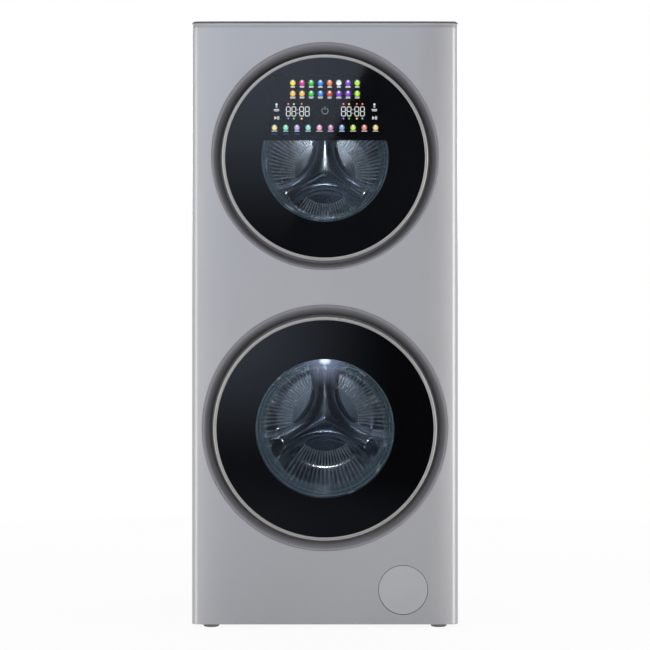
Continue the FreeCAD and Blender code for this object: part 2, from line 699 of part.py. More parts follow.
def tub_front(name, u):
    """The front half of the tub, with the collar that carries the gasket and the damper lugs' flange."""
    inner, outer = tub_radii(u)
    w, z = u["window_r"], u["z"]
    split = stations(u)[3]
    face = FRONT + TUB_FACE
    collar_in = w + COLLAR_OUT - 4
    profile = [
        (collar_in, face - COLLAR_LONG), (w + COLLAR_OUT, face - COLLAR_LONG), (w + COLLAR_OUT, face),
        (outer, face), (outer, split - FLANGE_THICK), (outer + FLANGE_OUT, split - FLANGE_THICK),
        (outer + FLANGE_OUT, split), (inner, split), (inner, face + TUB_WALL), (collar_in, face + TUB_WALL),
    ]
    body = turned(profile, z)
    ears = [spring_ear(u, side) for side in (-1, 1)]
    save(f"{name}_tub_front", [joined([body] + ears)])


def spring_ear(u, side):
    """A lug on top of the tub with a seat for the spring's lower hook."""
    outer = tub_radii(u)[1]
    x = side * u["spring_x"]
    foot = u["z"] + math.sqrt(outer ** 2 - u["spring_x"] ** 2)
    ear = box(x - EAR_WIDE / 2, x + EAR_WIDE / 2, RAIL_FRONT_Y - EAR_WIDE / 2, RAIL_FRONT_Y + EAR_WIDE / 2,
              foot - 30, foot + EAR_THICK)
    return ear.cut(rod(outer - 1, -DEPTH, DEPTH, 0, u["z"]))


def ear_top(u):
    """Height of the lugs that the springs' lower hooks sit on."""
    outer = tub_radii(u)[1]
    return u["z"] + math.sqrt(outer ** 2 - u["spring_x"] ** 2) + EAR_THICK


def lug_low(u):
    """Height of the lugs that the damper rods push on."""
    outer = tub_radii(u)[1]
    return u["z"] - math.sqrt(outer ** 2 - u["damper_x"] ** 2) - EAR_THICK


def tub_rear(name, u):
    """The rear half of the tub, with the bearing hub and the lugs for the dampers."""
    inner, outer = tub_radii(u)
    _, drum_back, rear_in, split = stations(u)
    rear_out = rear_in + TUB_WALL + 1
    hub_from, hub_to = drum_back + HUB_FROM, drum_back + HUB_TO
    profile = [
        (inner, split), (outer + FLANGE_OUT, split), (outer + FLANGE_OUT, split + FLANGE_THICK),
        (outer, split + FLANGE_THICK), (outer, rear_out), (HUB_R, rear_out), (HUB_R, hub_to),
        (BEARING_R, hub_to), (BEARING_R, hub_to - BEARING_WIDE - 1), (SHOULDER_R, hub_to - BEARING_WIDE - 1),
        (SHOULDER_R, hub_from + BEARING_WIDE + 1), (BEARING_R, hub_from + BEARING_WIDE + 1),
        (BEARING_R, hub_from), (HUB_R, hub_from), (HUB_R, rear_in), (inner, rear_in),
    ]
    body = turned(profile, u["z"])
    lugs = []
    for side in (-1, 1):
        x, low = side * u["damper_x"], lug_low(u)
        lug = box(x - EAR_WIDE / 2, x + EAR_WIDE / 2, RAIL_REAR_Y - EAR_WIDE / 2, RAIL_REAR_Y + EAR_WIDE / 2,
                  low, low + 40)
        lugs.append(lug.cut(rod(outer - 1, -DEPTH, DEPTH, 0, u["z"])))
    save(f"{name}_tub_rear", [joined([body] + lugs)])


def counterweights(name, u):
    """Two cast blocks on the tub's front face, above and below its collar."""
    outer = tub_radii(u)[1]
    back = FRONT + TUB_FACE
    whole = ring(outer - 2, u["window_r"] + COUNTERWEIGHT_INNER, back - COUNTERWEIGHT_THICK, back, 0, u["z"])
    blocks = []
    reach = 2 * outer
    side_x = reach * math.sin(math.radians(COUNTERWEIGHT_SPAN / 2))
    side_z = reach * math.cos(math.radians(COUNTERWEIGHT_SPAN / 2))
    for sign in (1, -1):
        wedge = prism([(0, u["z"]), (side_x, u["z"] + sign * side_z), (-side_x, u["z"] + sign * side_z)],
                      back - COUNTERWEIGHT_THICK - 1, back + 1)
        blocks.append(whole.common(wedge))
    save(f"{name}_counterweights", blocks)


def bearings(name, u):
    """The two shaft bearings in the tub's hub."""
    drum_back = stations(u)[1]
    pair = []
    for start in (drum_back + HUB_FROM, drum_back + HUB_TO - BEARING_WIDE):
        pair.append(ring(BEARING_R - 0.02, SHAFT_R, start, start + BEARING_WIDE, 0, u["z"]))
    save(f"{name}_bearings", pair)


def stator(name, u):
    """The motor's stator, with open slots between its poles, on the tub's rear face."""
    rear_out = stations(u)[2] + TUB_WALL + 1
    core = ring(STATOR_OUT, STATOR_IN, rear_out, rear_out + STATOR_THICK, 0, u["z"])
    slots = []
    for i in range(STATOR_SLOTS):
        slot = box(STATOR_IN + 22, STATOR_OUT + 5, rear_out + 4, rear_out + STATOR_THICK + 1,
                   u["z"] - 3, u["z"] + 3)
        slot.rotate(V(0, 0, u["z"]), V(0, 1, 0), 360.0 * i / STATOR_SLOTS)
        slots.append(slot)
    save(f"{name}_stator", [core.cut(slots)])


def drum(name, u):
    """The stainless drum: an open front with a folded edge, a plain wall and a closed rear."""
    front, back = stations(u)[:2]
    r, t, mouth = u["drum_r"], DRUM_SHEET, u["window_r"] + DRUM_MOUTH
    profile = [
        (mouth, front), (r - DRUM_EDGE, front), (r, front + DRUM_EDGE), (r, back - DRUM_EDGE),
        (r - DRUM_EDGE, back), (0, back), (0, back - t), (r - DRUM_EDGE - t / 2, back - t),
        (r - t, back - DRUM_EDGE - t / 2), (r - t, front + DRUM_EDGE + t / 2),
        (r - DRUM_EDGE - t / 2, front + t), (mouth, front + t),
    ]
    save(f"{name}_drum", [turned(profile, u["z"])])


def lifters(name, u):
    """Three lifters along the drum wall, a third of a turn apart."""
    front, back = stations(u)[:2]
    wall = u["drum_r"] - DRUM_SHEET - 0.1
    z = u["z"]
    outline = [(-LIFTER_HALF, z + wall + 4), (-LIFTER_TIP, z + wall - LIFTER_TALL),
               (LIFTER_TIP, z + wall - LIFTER_TALL), (LIFTER_HALF, z + wall + 4)]
    bar = prism(outline, front + LIFTER_MARGIN, back - LIFTER_MARGIN)
    tip = [e for e in bar.Edges
           if abs(e.tangentAt(0).y) > 0.9 and e.BoundBox.ZMin < z + wall - LIFTER_TALL + 1]
    bar = bar.makeFillet(7, tip).common(rod(wall, front, back, 0, z))
    bars = []
    for angle in LIFTER_ANGLES:
        turn = bar.copy()
        turn.rotate(V(0, 0, z), V(0, 1, 0), 90.0 - angle)
        bars.append(turn)
    save(f"{name}_lifters", bars)


def spider(name, u):
    """The three-armed casting behind the drum, with its shaft."""
    back = stations(u)[1]
    z = u["z"]
    parts = [rod(SPIDER_HUB_R, back, back + SPIDER_THICK, 0, z)]
    for angle in LIFTER_ANGLES:
        arm = box(0, u["drum_r"] - DRUM_EDGE - 4, back, back + SPIDER_THICK,
                  z - SPIDER_ARM / 2, z + SPIDER_ARM / 2)
        arm.rotate(V(0, 0, z), V(0, 1, 0), -angle)
        parts.append(arm)
    parts.append(rod(SHAFT_R - RUNNING, back, back + SHAFT_END, 0, z))
    save(f"{name}_spider", [joined(parts)])


def rotor(name, u):
    """The motor's bell rotor on the end of the drum shaft."""
    back = stations(u)[1]
    disc = back + ROTOR_DISC
    rim_from = stations(u)[2] + TUB_WALL + 1 + 2
    profile = [
        (SHAFT_R, disc), (ROTOR_IN, disc), (ROTOR_IN, rim_from), (ROTOR_OUT, rim_from),
        (ROTOR_OUT, disc + ROTOR_THICK), (SHAFT_R + 9, disc + ROTOR_THICK), (SHAFT_R + 9, back + SHAFT_END - 2),
        (SHAFT_R, back + SHAFT_END - 2),
    ]
    save(f"{name}_rotor", [turned(profile, u["z"])])


def suspension(name, u):
    """Two springs from the rail above down to the tub, and two dampers from below up to it."""
    solids = []
    upper = name == "upper"
    hang = CABINET_TOP - RAIL_DROP - RAIL_TALL if upper else MIDDLE_RAIL_Z
    stand = MIDDLE_RAIL_Z + MIDDLE_RAIL_TALL if upper else FOOT_SHOW + BASE_WALL
    for side in (-1, 1):
        x = side * u["spring_x"]
        low = ear_top(u)
        coil_low, coil_high = low + 14, hang - 14
        coil = post(SPRING_R, coil_low, coil_high, x, RAIL_FRONT_Y)
        coil = coil.cut(post(SPRING_BORE, coil_low + 3, coil_high - 3, x, RAIL_FRONT_Y))
        hooks = [post(HOOK_R, low, coil_low, x, RAIL_FRONT_Y), post(HOOK_R, coil_high, hang, x, RAIL_FRONT_Y)]
        solids.append(joined([coil] + hooks))
    for side in (-1, 1):
        x = side * u["damper_x"]
        can = post(DAMPER_R, stand, stand + DAMPER_LONG, x, RAIL_REAR_Y)
        can = can.cut(post(DAMPER_BORE, stand + 4, stand + DAMPER_LONG + 1, x, RAIL_REAR_Y))
        solids.append(can)
        solids.append(post(DAMPER_ROD_R, stand + 4 + FLOAT + 4, lug_low(u), x, RAIL_REAR_Y))
    save(f"{name}_suspension", solids)


# ---- dryer

def dryer_duct():
    """The fan housing and duct on the upper tub, with a leg down to the tub at each end."""
    u = UNITS["upper"]
    tub = rod(tub_radii(u)[1] + FIT_GAP, -DEPTH, DEPTH, 0, u["z"])
    x0, x1 = DUCT_X
    wall = DUCT_WALL
    outer = [
        post(FAN_HOUSING_R, FAN_LOW, FAN_HIGH, FAN_X, FAN_Y),
        box(x0, x1, DUCT_FRONT_Y, FAN_Y, DUCT_LOW, FAN_HIGH),
        box(x0, x0 + DUCT_LEG, DUCT_FRONT_Y, DUCT_FRONT_Y + DUCT_LEG, u["z"], DUCT_LOW + 5),
        post(INLET_LEG_R, u["z"], FAN_LOW + 2, FAN_X, FAN_Y),
        post(DRYER_MOTOR_R, FAN_HIGH - 1, FAN_HIGH + DRYER_MOTOR_TALL, FAN_X, FAN_Y),
    ]
    inner = [
        post(FAN_HOUSING_R - wall, FAN_LOW + wall, FAN_HIGH - wall, FAN_X, FAN_Y),
        box(x0 + wall, x1 - wall, DUCT_FRONT_Y + wall, FAN_Y, DUCT_LOW + wall, FAN_HIGH - wall),
        box(x0 + wall, x0 + DUCT_LEG - wall, DUCT_FRONT_Y + wall, DUCT_FRONT_Y + DUCT_LEG - wall,
            u["z"] - 1, DUCT_LOW + 5),
        post(INLET_LEG_R - wall, u["z"] - 1, FAN_LOW + 5, FAN_X, FAN_Y),
        post(DRYER_SHAFT_R + RUNNING, FAN_HIGH - 5, FAN_HIGH + DRYER_MOTOR_TALL - 3, FAN_X, FAN_Y),
    ]
    body = outer[0].fuse(outer[1:]).cut(inner).cut(tub)
    save("dryer_duct", [body.removeSplitter()])


def dryer_fan():
    """The drying fan: a backplate, blades and a shaft up into the motor."""
    low = FAN_LOW + DUCT_WALL + FAN_CLEARANCE
    high = low + FAN_TALL
    parts = [
        post(FAN_R, high - FAN_PLATE, high, FAN_X, FAN_Y),
        post(FAN_HUB_R, high - FAN_HUB_LONG, high, FAN_X, FAN_Y),
        post(DRYER_SHAFT_R, high - FAN_PLATE, FAN_HIGH + DRYER_MOTOR_TALL - 4, FAN_X, FAN_Y),
    ]
    for i in range(FAN_BLADES):
        blade = box(FAN_X + BLADE_IN, FAN_X + FAN_R - BLADE_EDGE, FAN_Y - BLADE_THICK / 2, FAN_Y + BLADE_THICK / 2,
                    low, high - FAN_PLATE + 1)
        blade.rotate(V(FAN_X, FAN_Y, 0), V(0, 0, 1), 360.0 * i / FAN_BLADES)
        parts.append(blade)
    save("dryer_fan", [joined(parts)])


# ---- drain filter, pump and rear connections

def filter_cover():
    """The round snap-off cover low on the front, with three snap legs."""
    parts = [rod(FILTER_COVER_R, PANEL_Y, PANEL_Y + COVER_DISC, FILTER_X, FILTER_Z)]
    edge = FILTER_COVER_R - SNAP_IN
    for angle in SNAP_ANGLES:
        leg = box(edge - SNAP_THICK, edge, PANEL_Y + COVER_DISC / 2, PANEL_Y + COVER_DISC + SNAP_LEG,
                  -SNAP_HALF, SNAP_HALF)
        leg.rotate(V(0, 0, 0), V(0, 1, 0), -angle)
        leg.translate(V(FILTER_X, 0, FILTER_Z))
        parts.append(leg)
    save("filter_cover", [joined(parts)])


def filter_pocket():
    """The moulded cup behind the cover, open to the front, with the filter's mouth in its floor."""
    outer = POCKET_R + POCKET_WALL
    crowned = max(0.0, FILTER_X + outer - CROWN_START)
    fall = CROWN_R - math.sqrt(CROWN_R ** 2 - crowned ** 2)
    front = PANEL_Y + SHEET + fall + FIT_GAP
    floor = PANEL_Y + POCKET_DEEP
    cup = rod(outer, front, floor, FILTER_X, FILTER_Z)
    cup = cup.cut(rod(POCKET_R, front - 1, floor - POCKET_WALL, FILTER_X, FILTER_Z))
    cup = cup.cut(rod(CHAMBER_R, front, floor + 1, FILTER_X, FILTER_Z))
    seat = PANEL_Y + COVER_DISC + FIT_GAP
    ledge = ring(POCKET_R + 1, FILTER_COVER_R - LEDGE_IN, seat, seat + LEDGE_THICK, FILTER_X, FILTER_Z)
    save("filter_pocket", [joined([cup, ledge])])


def drain_filter():
    """The filter that screws into the pump: a grip, a cap and a slotted strainer."""
    floor = PANEL_Y + POCKET_DEEP - POCKET_WALL
    cap_back = floor - CAP_GAP
    cap_front = cap_back - CAP_THICK
    strain_r = CHAMBER_R - STRAINER_GAP
    cap = rod(CAP_R, cap_front, cap_back, FILTER_X, FILTER_Z)
    grip = box(FILTER_X - GRIP_THICK / 2, FILTER_X + GRIP_THICK / 2, cap_front - CAP_GRIP, cap_front + 1,
               FILTER_Z - GRIP_WIDE / 2, FILTER_Z + GRIP_WIDE / 2)
    body = rod(strain_r, floor - 1, floor + STRAINER_LONG, FILTER_X, FILTER_Z)
    body = body.cut(rod(strain_r - STRAINER_WALL, floor + STRAINER_END, floor + STRAINER_LONG - STRAINER_END,
                        FILTER_X, FILTER_Z))
    for i in range(4):
        y = floor + STRAINER_FIRST + STRAINER_PITCH * i
        body = body.cut(box(FILTER_X - CAP_R, FILTER_X + CAP_R, y, y + STRAINER_SLOT, FILTER_Z, FILTER_Z + CAP_R))
    save("drain_filter", [joined([cap, grip, body])])


def drain_pump():
    """The pump: filter chamber, volute and motor in line behind the pocket, on a foot to the base tray."""
    y0 = PANEL_Y + POCKET_DEEP
    y1 = y0 + CHAMBER_LONG
    y2 = y1 + VOLUTE_LONG
    y3 = y2 + PUMP_MOTOR_LONG
    x, z = FILTER_X, FILTER_Z
    floor = FOOT_SHOW + BASE_WALL
    outlet = rod(OUTLET_R, 0, OUTLET_LONG)
    outlet.rotate(V(0, 0, 0), V(1, 0, 0), 90)
    outlet.translate(V(x + OUTLET_AT[0], (y1 + y2) / 2, z + OUTLET_AT[1]))
    foot = box(x - PUMP_FOOT / 2, x + PUMP_FOOT / 2, y1 + PUMP_FOOT_IN, y2 - PUMP_FOOT_IN, floor, z)
    body = rod(CHAMBER_R + CHAMBER_WALL, y0, y1 + 1, x, z)
    body = body.fuse([rod(VOLUTE_R, y1, y2, x, z), rod(PUMP_MOTOR_R, y2 - 1, y3, x, z), foot, outlet])
    body = body.cut(rod(CHAMBER_R, y0 - 1, y1 + 4, x, z))
    body = body.cut(rod(VOLUTE_R - VOLUTE_WALL, y1 + CHAMBER_WALL, y2 - CHAMBER_WALL - 1, x, z))
    save("drain_pump", [body.removeSplitter()])


def inlet_valve():
    """The two-way water inlet valve inside the rear panel, with a hose spigot for each supply."""
    inside = REAR_Y - SHEET - FITTING_GAP
    low_x, high_x = INLET_X
    parts = [box(low_x - VALVE_SIDE, high_x + VALVE_SIDE, inside - VALVE_DEEP, inside,
                 INLET_Z - VALVE_SIDE, INLET_Z + VALVE_SIDE)]
    for x in INLET_X:
        parts.append(rod(FITTING_ROOT_R, inside - 2, REAR_Y + SPIGOT_SHOULDER, x, INLET_Z))
        parts.append(rod(INLET_SPIGOT_R, inside, BACK, x, INLET_Z))
    save("inlet_valve", [joined(parts)])


def rear_fittings():
    """The drain hose spigot and the mains cord gland, both held in the rear panel."""
    inside = REAR_Y - SHEET - FITTING_GAP
    shoulder = REAR_Y + SPIGOT_SHOULDER
    x, z = DRAIN_AT
    flange = rod(DRAIN_FLANGE_R, inside - FLANGE_LONG, inside, x, z)
    root = rod(FITTING_ROOT_R, inside - 1, shoulder, x, z)
    spigot = joined([flange, root, rod(DRAIN_SPIGOT_R, inside - DRAIN_TAIL, BACK, x, z)])
    spigot = spigot.cut(rod(DRAIN_BORE, inside - DRAIN_TAIL - 1, BACK + 1, x, z))
    x, z = GLAND_AT
    flange = rod(GLAND_FLANGE_R, inside - FLANGE_LONG, inside, x, z)
    root = rod(FITTING_ROOT_R, inside - 1, shoulder, x, z)
    gland = joined([flange, root, rod(GLAND_R, inside, REAR_Y + GLAND_OUT, x, z)])
    gland = gland.cut(rod(GLAND_BORE, inside - FLANGE_LONG - 1, BACK, x, z))
    save("rear_fittings", [spigot, gland])


def main():
    os.makedirs("parts", exist_ok=True)
    for build in (front_panel, side_panels, rear_panel, top_cover, base_frame, feet, cross_rails, control_box,
                  drum_lamps, hinge_brackets, door_locks, display_board, dryer_duct, dryer_fan, filter_cover,
                  filter_pocket, drain_filter, drain_pump, inlet_valve, rear_fittings):
        build()
    for name, u in UNITS.items():
        for build in (bezel, gasket, door_frame, door_trim, door_glass, door_bowl, door_liner, door_fittings,
                      tub_front, tub_rear, counterweights, bearings, stator, drum, lifters, spider, rotor,
                      suspension):
            build(name, u)


main()
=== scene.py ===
import math
import random

import bmesh
import bpy
import numpy as np
from mathutils import Matrix, Vector


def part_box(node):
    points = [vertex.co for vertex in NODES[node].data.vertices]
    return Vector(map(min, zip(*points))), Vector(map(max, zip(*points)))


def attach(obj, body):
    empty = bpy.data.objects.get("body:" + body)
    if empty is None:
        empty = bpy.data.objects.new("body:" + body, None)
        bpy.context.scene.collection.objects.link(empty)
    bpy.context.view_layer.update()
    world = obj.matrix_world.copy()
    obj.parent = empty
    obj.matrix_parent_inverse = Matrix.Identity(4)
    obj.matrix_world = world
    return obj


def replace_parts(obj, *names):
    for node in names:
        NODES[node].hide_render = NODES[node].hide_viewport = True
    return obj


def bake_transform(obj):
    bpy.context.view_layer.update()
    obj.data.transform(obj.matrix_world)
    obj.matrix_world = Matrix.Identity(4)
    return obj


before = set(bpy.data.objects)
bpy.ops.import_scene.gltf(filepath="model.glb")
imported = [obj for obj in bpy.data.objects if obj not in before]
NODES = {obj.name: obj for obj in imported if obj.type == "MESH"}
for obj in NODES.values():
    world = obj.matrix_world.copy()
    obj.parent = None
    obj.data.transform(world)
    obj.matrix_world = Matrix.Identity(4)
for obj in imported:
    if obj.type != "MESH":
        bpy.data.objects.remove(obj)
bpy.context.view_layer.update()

MM = 0.001
PI = math.pi


# ---- places, from the frame

def centre(node):
    """Middle of a CAD node's box."""
    low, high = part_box(node)
    return (low + high) / 2


def half(node):
    """Half the size of a CAD node's box."""
    low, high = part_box(node)
    return (high - low) / 2


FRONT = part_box("upper_door_trim")[0].y
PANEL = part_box("front_panel")[0].y
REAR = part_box("rear_panel")[1].y
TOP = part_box("top_cover")[1].z
SIDE, SHEET_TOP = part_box("front_panel")[1].x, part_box("front_panel")[1].z
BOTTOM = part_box("front_panel")[0].z

# the front sheet, in metres
CORNER_R, CROWN_START, CROWN_R, SHEET = 14 * MM, 205 * MM, 1800 * MM, 1.2 * MM
RETURN_DEPTH = 26 * MM                # how far the sheet wraps round the side
STEP_IN = 0.6                         # mm, the strip along the top behind the rest
STEP_Z = SHEET_TOP - 9 * MM
COVER_GAP = 1.2 * MM                  # round the filter cover
CHORD = 39 * MM                       # the upper window's straight top above its centre
LARGE_WINDOW = 156.6                  # mm, the window that the drum's pressing is drawn for
INSIDE = 1.2                          # mm, the drum's pressings inside its wall


def unit(name):
    """Sizes and places of one drum unit, in metres."""
    u = {"name": name, "z": centre(f"{name}_door_glass").z}
    u["ring"] = half(f"{name}_door_trim").x
    u["window"] = half(f"{name}_door_bowl").x - 16 * MM
    u["bezel"] = half(f"{name}_bezel").x - 7 * MM
    u["lift"] = centre(f"{name}_bezel").z - u["z"]
    u["drum"] = half(f"{name}_drum").x
    u["drum_front"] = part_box(f"{name}_drum")[0].y
    u["drum_back"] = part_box(f"{name}_drum")[1].y
    u["floor"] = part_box(f"{name}_bezel")[1].y - 2.5 * MM
    u["tip"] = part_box(f"{name}_door_bowl")[1].y
    u["collar"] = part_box(f"{name}_gasket")[1].y
    return u


UNITS = {name: unit(name) for name in ("upper", "lower")}


# ---- shader helpers

class Num:
    """A number worked out in a node tree, which adds and multiplies like any other."""

    def __init__(self, tree, socket):
        self.tree, self.socket = tree, socket

    def do(self, operation, other=0.0):
        """One maths node on this number and another."""
        return Num(self.tree, add_node(self.tree, "Math", {0: self, 1: other}, operation=operation).outputs[0])

    def __add__(self, other):
        return self.do("ADD", other)

    def __sub__(self, other):
        return self.do("SUBTRACT", other)

    def __mul__(self, other):
        return self.do("MULTIPLY", other)

    def fit(self, low, high, to_low, to_high, smooth=False):
        """This number moved from one range to another, clamped."""
        inputs = {"Value": self, "From Min": low, "From Max": high, "To Min": to_low, "To Max": to_high}
        shape = "SMOOTHSTEP" if smooth else "LINEAR"
        return Num(self.tree, add_node(self.tree, "MapRange", inputs, interpolation_type=shape).outputs["Result"])


def add_node(tree, kind, inputs=None, **settings):
    """A shader node with its settings. An input is a number or socket made before, or a plain value."""
    made = tree.nodes.new("ShaderNode" + kind)
    for name, value in settings.items():
        setattr(made, name, value)
    for name, value in (inputs or {}).items():
        join(tree, value, made.inputs[name])
    return made


def join(tree, value, socket):
    """Sets a socket to a plain value, or links what was made before to it."""
    value = value.socket if isinstance(value, Num) else value
    if isinstance(value, bpy.types.NodeSocket):
        tree.links.new(value, socket)
    else:
        socket.default_value = value


def srgb(r, g, b):
    """A screen colour, 0 to 255, as linear light."""
    def one(c):
        c = c / 255
        return c / 12.92 if c <= 0.04045 else ((c + 0.055) / 1.055) ** 2.4
    return (one(r), one(g), one(b), 1.0)


def new_material(name):
    """A material with an empty node tree, and its output's socket."""
    mat = bpy.data.materials.new(name)
    mat.use_nodes = True
    mat.node_tree.nodes.clear()
    return mat, mat.node_tree, add_node(mat.node_tree, "OutputMaterial").inputs["Surface"]


def coords(tree):
    """The surface point in the object's own axes."""
    return add_node(tree, "TexCoord").outputs["Object"]


def split(tree, vector):
    """A vector's three numbers."""
    parts = add_node(tree, "SeparateXYZ", {"Vector": vector})
    return [Num(tree, parts.outputs[axis]) for axis in "XYZ"]


def length(tree, vector):
    """A vector's length."""
    return Num(tree, add_node(tree, "VectorMath", {0: vector}, operation="LENGTH").outputs["Value"])


def from_axis(tree, u):
    """Where the surface point lies about a unit's axis: across, back, above and away from it."""
    x, y, z = split(tree, coords(tree))
    above = z - u["z"]
    return x, y, above, (x * x + above * above).do("SQRT")


def noise(tree, scale, detail=3.0, stretch=None):
    """Noise of that many waves per metre, stretched along an axis if asked."""
    vector = coords(tree)
    if stretch is not None:
        vector = add_node(tree, "Mapping", {"Vector": vector, "Scale": stretch}).outputs["Vector"]
    inputs = {"Vector": vector, "Scale": scale, "Detail": detail, "Roughness": 0.55}
    return Num(tree, add_node(tree, "TexNoise", inputs).outputs["Fac"])


def ramp(tree, factor, stops):
    """A colour ramp of (position, colour) stops."""
    made = add_node(tree, "ValToRGB", {"Fac": factor})
    elements = made.color_ramp.elements
    while len(elements) < len(stops):
        elements.new(0.5)
    for element, (position, colour) in zip(elements, stops):
        element.position = position
        element.color = colour
    return made.outputs["Color"]


def bump(tree, height, strength, distance):
    """A bump from a height."""
    return add_node(tree, "Bump", {"Height": height, "Strength": strength, "Distance": distance}).outputs["Normal"]


def shader(tree, kind, **inputs):
    """A surface or light, with its inputs by name."""
    return add_node(tree, kind, inputs).outputs[0]


def mix(tree, factor, first, second):
    """One surface laid over another by a factor."""
    return add_node(tree, "MixShader", {"Fac": factor, 1: first, 2: second}).outputs[0]


def shade(colour, spread):
    """A colour made lighter or darker."""
    return tuple(min(1.0, c * spread) for c in colour[:3]) + (1.0,)


def surface(name, colour, rough, metallic=0.0, vary=0.06, vary_scale=9.0, rough_vary=0.05, grain=600.0,
            grain_strength=0.15, grain_depth=0.0001, stretch=None, **sockets):
    """A material with colour, gloss and grain that vary across it. Other sockets are set as they are named."""
    mat, tree, out = new_material(name)
    broad = noise(tree, vary_scale, 4.0)
    fine = noise(tree, grain, 2.0, stretch)
    body = add_node(tree, "BsdfPrincipled", {
        "Base Color": ramp(tree, broad, [(0.3, shade(colour, 1 - vary)), (0.7, shade(colour, 1 + vary))]),
        "Roughness": broad.fit(0.3, 0.7, max(0.02, rough - rough_vary), rough + rough_vary),
        "Normal": bump(tree, fine, grain_strength, grain_depth),
        "Metallic": metallic,
    })
    for socket, value in sockets.items():
        body.inputs[socket.replace("_", " ")].default_value = value
    join(tree, body.outputs["BSDF"], out)
    return mat, tree, body


def plain(*values, **more):
    """A surface() material alone."""
    return surface(*values, **more)[0]


def tone(tree, body, factor):
    """Multiplies a surface's colour by a number."""
    colour = body.inputs["Base Color"]
    scaled = add_node(tree, "VectorMath", {0: colour.links[0].from_socket, "Scale": factor}, operation="SCALE")
    join(tree, scaled.outputs[0], colour)


# ---- materials

def silver_paint(name, base):
    """Satin metallic paint with fine flakes, with painted shade on the stepped strip along the top and a painted
    highlight along the sheet's top edge.
    """
    mat, tree, body = surface(name, base, 0.38, metallic=0.45, vary=0.012, vary_scale=3.0, rough_vary=0.02,
                              Coat_Weight=0.25, Coat_Roughness=0.25, Specular_IOR_Level=0.5)
    x, _, z = split(tree, coords(tree))
    outside = x.do("ABSOLUTE").fit(CROWN_START, SIDE, 0.0, 1.0)
    grain = noise(tree, 2600.0, 2.0) * 0.000004
    join(tree, bump(tree, outside * outside * -0.0125 + grain, 1.0, 1.0), body.inputs["Normal"])
    # painted shade: the stepped strip along the top is made darker, and a painted highlight makes its topmost edge
    # lighter
    strip = z.fit(TOP - 14.5 * MM, TOP - 14.0 * MM, 1.0, 0.80)
    edge = z.fit(TOP - 7.2 * MM, TOP - 6.8 * MM, 0.0, 0.55)
    sparkle = noise(tree, 2200.0, 1.0).fit(0.35, 0.7, 0.965, 1.045)
    tone(tree, body, (strip + edge) * sparkle)
    return mat


def bezel_plastic():
    """Dark grey satin moulding, with painted shade that darkens it towards the gap round the door, and painted light
    that makes it lighter where it faces up.
    """
    mat, tree, body = surface("bezel_plastic", srgb(116, 115, 120), 0.42, vary=0.02, vary_scale=20.0, rough_vary=0.03,
                              grain=1500.0, grain_strength=0.06, Coat_Weight=0.1, Coat_Roughness=0.3)
    y = split(tree, coords(tree))[1]
    facing = split(tree, add_node(tree, "TexCoord").outputs["Normal"])[2]
    # painted shade: the colour darkens with depth into the dish; painted light: faces that point up are made lighter
    deep = y.fit(FRONT + 8.5 * MM, FRONT + 38 * MM, 1.0, 0.5)
    inside = y.fit(FRONT + 8.5 * MM, FRONT + 24 * MM, 0.0, 1.0)
    tone(tree, body, deep + facing.fit(-0.8, 0.8, 0.1, 0.75) * inside)
    return mat


def brushed(name, colour, rough, stretch, anisotropic=0.0):
    """Brushed or rolled metal, with its brush lines along one direction, or round the drum's axis."""
    mat, tree, body = surface(name, colour, rough, metallic=1.0, vary=0.03, vary_scale=14.0, rough_vary=0.04,
                              grain=160.0, grain_strength=0.12, grain_depth=0.00006, stretch=stretch)
    if anisotropic:
        body.inputs["Anisotropic"].default_value = anisotropic
        tangent = add_node(tree, "Tangent", direction_type="RADIAL", axis="Y")
        join(tree, tangent.outputs["Tangent"], body.inputs["Tangent"])
    return mat


def window_glass(name, u):
    """Door glass, black all over but for the window and, above it, the display's smoked field."""
    mat, tree, out = new_material(name)
    x, y, above, radius = from_axis(tree, u)
    clear = radius.fit(u["window"] - 0.6 * MM, u["window"] + 0.2 * MM, 1.0, 0.0)
    if u["name"] == "upper":
        low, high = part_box("display_board")
        clear = clear * above.fit(CHORD - 0.4 * MM, CHORD + 0.2 * MM, 1.0, 0.0)
        field = above.do("GREATER_THAN", low.z - u["z"] + 1 * MM) * above.do("LESS_THAN", high.z - u["z"] - 1 * MM)
        field = field * x.do("ABSOLUTE").do("LESS_THAN", high.x - 1 * MM)
        clear = clear.do("MAXIMUM", field)
    black = shader(tree, "BsdfDiffuse",
                   Color=ramp(tree, noise(tree, 5.0), [(0.3, srgb(4, 4, 5)), (0.7, srgb(6, 6, 7))]))
    through = shader(tree, "BsdfTransparent", Color=(0.97, 0.985, 0.99, 1.0))
    gloss = shader(tree, "BsdfGlossy", Roughness=0.04, Normal=bump(tree, noise(tree, 3.0, 1.0), 0.03, 0.001))
    fresnel = Num(tree, shader(tree, "Fresnel", IOR=1.5))
    outer = y.do("LESS_THAN", FRONT + 3 * MM)
    join(tree, mix(tree, fresnel * outer, mix(tree, clear, black, through), gloss), out)
    return mat


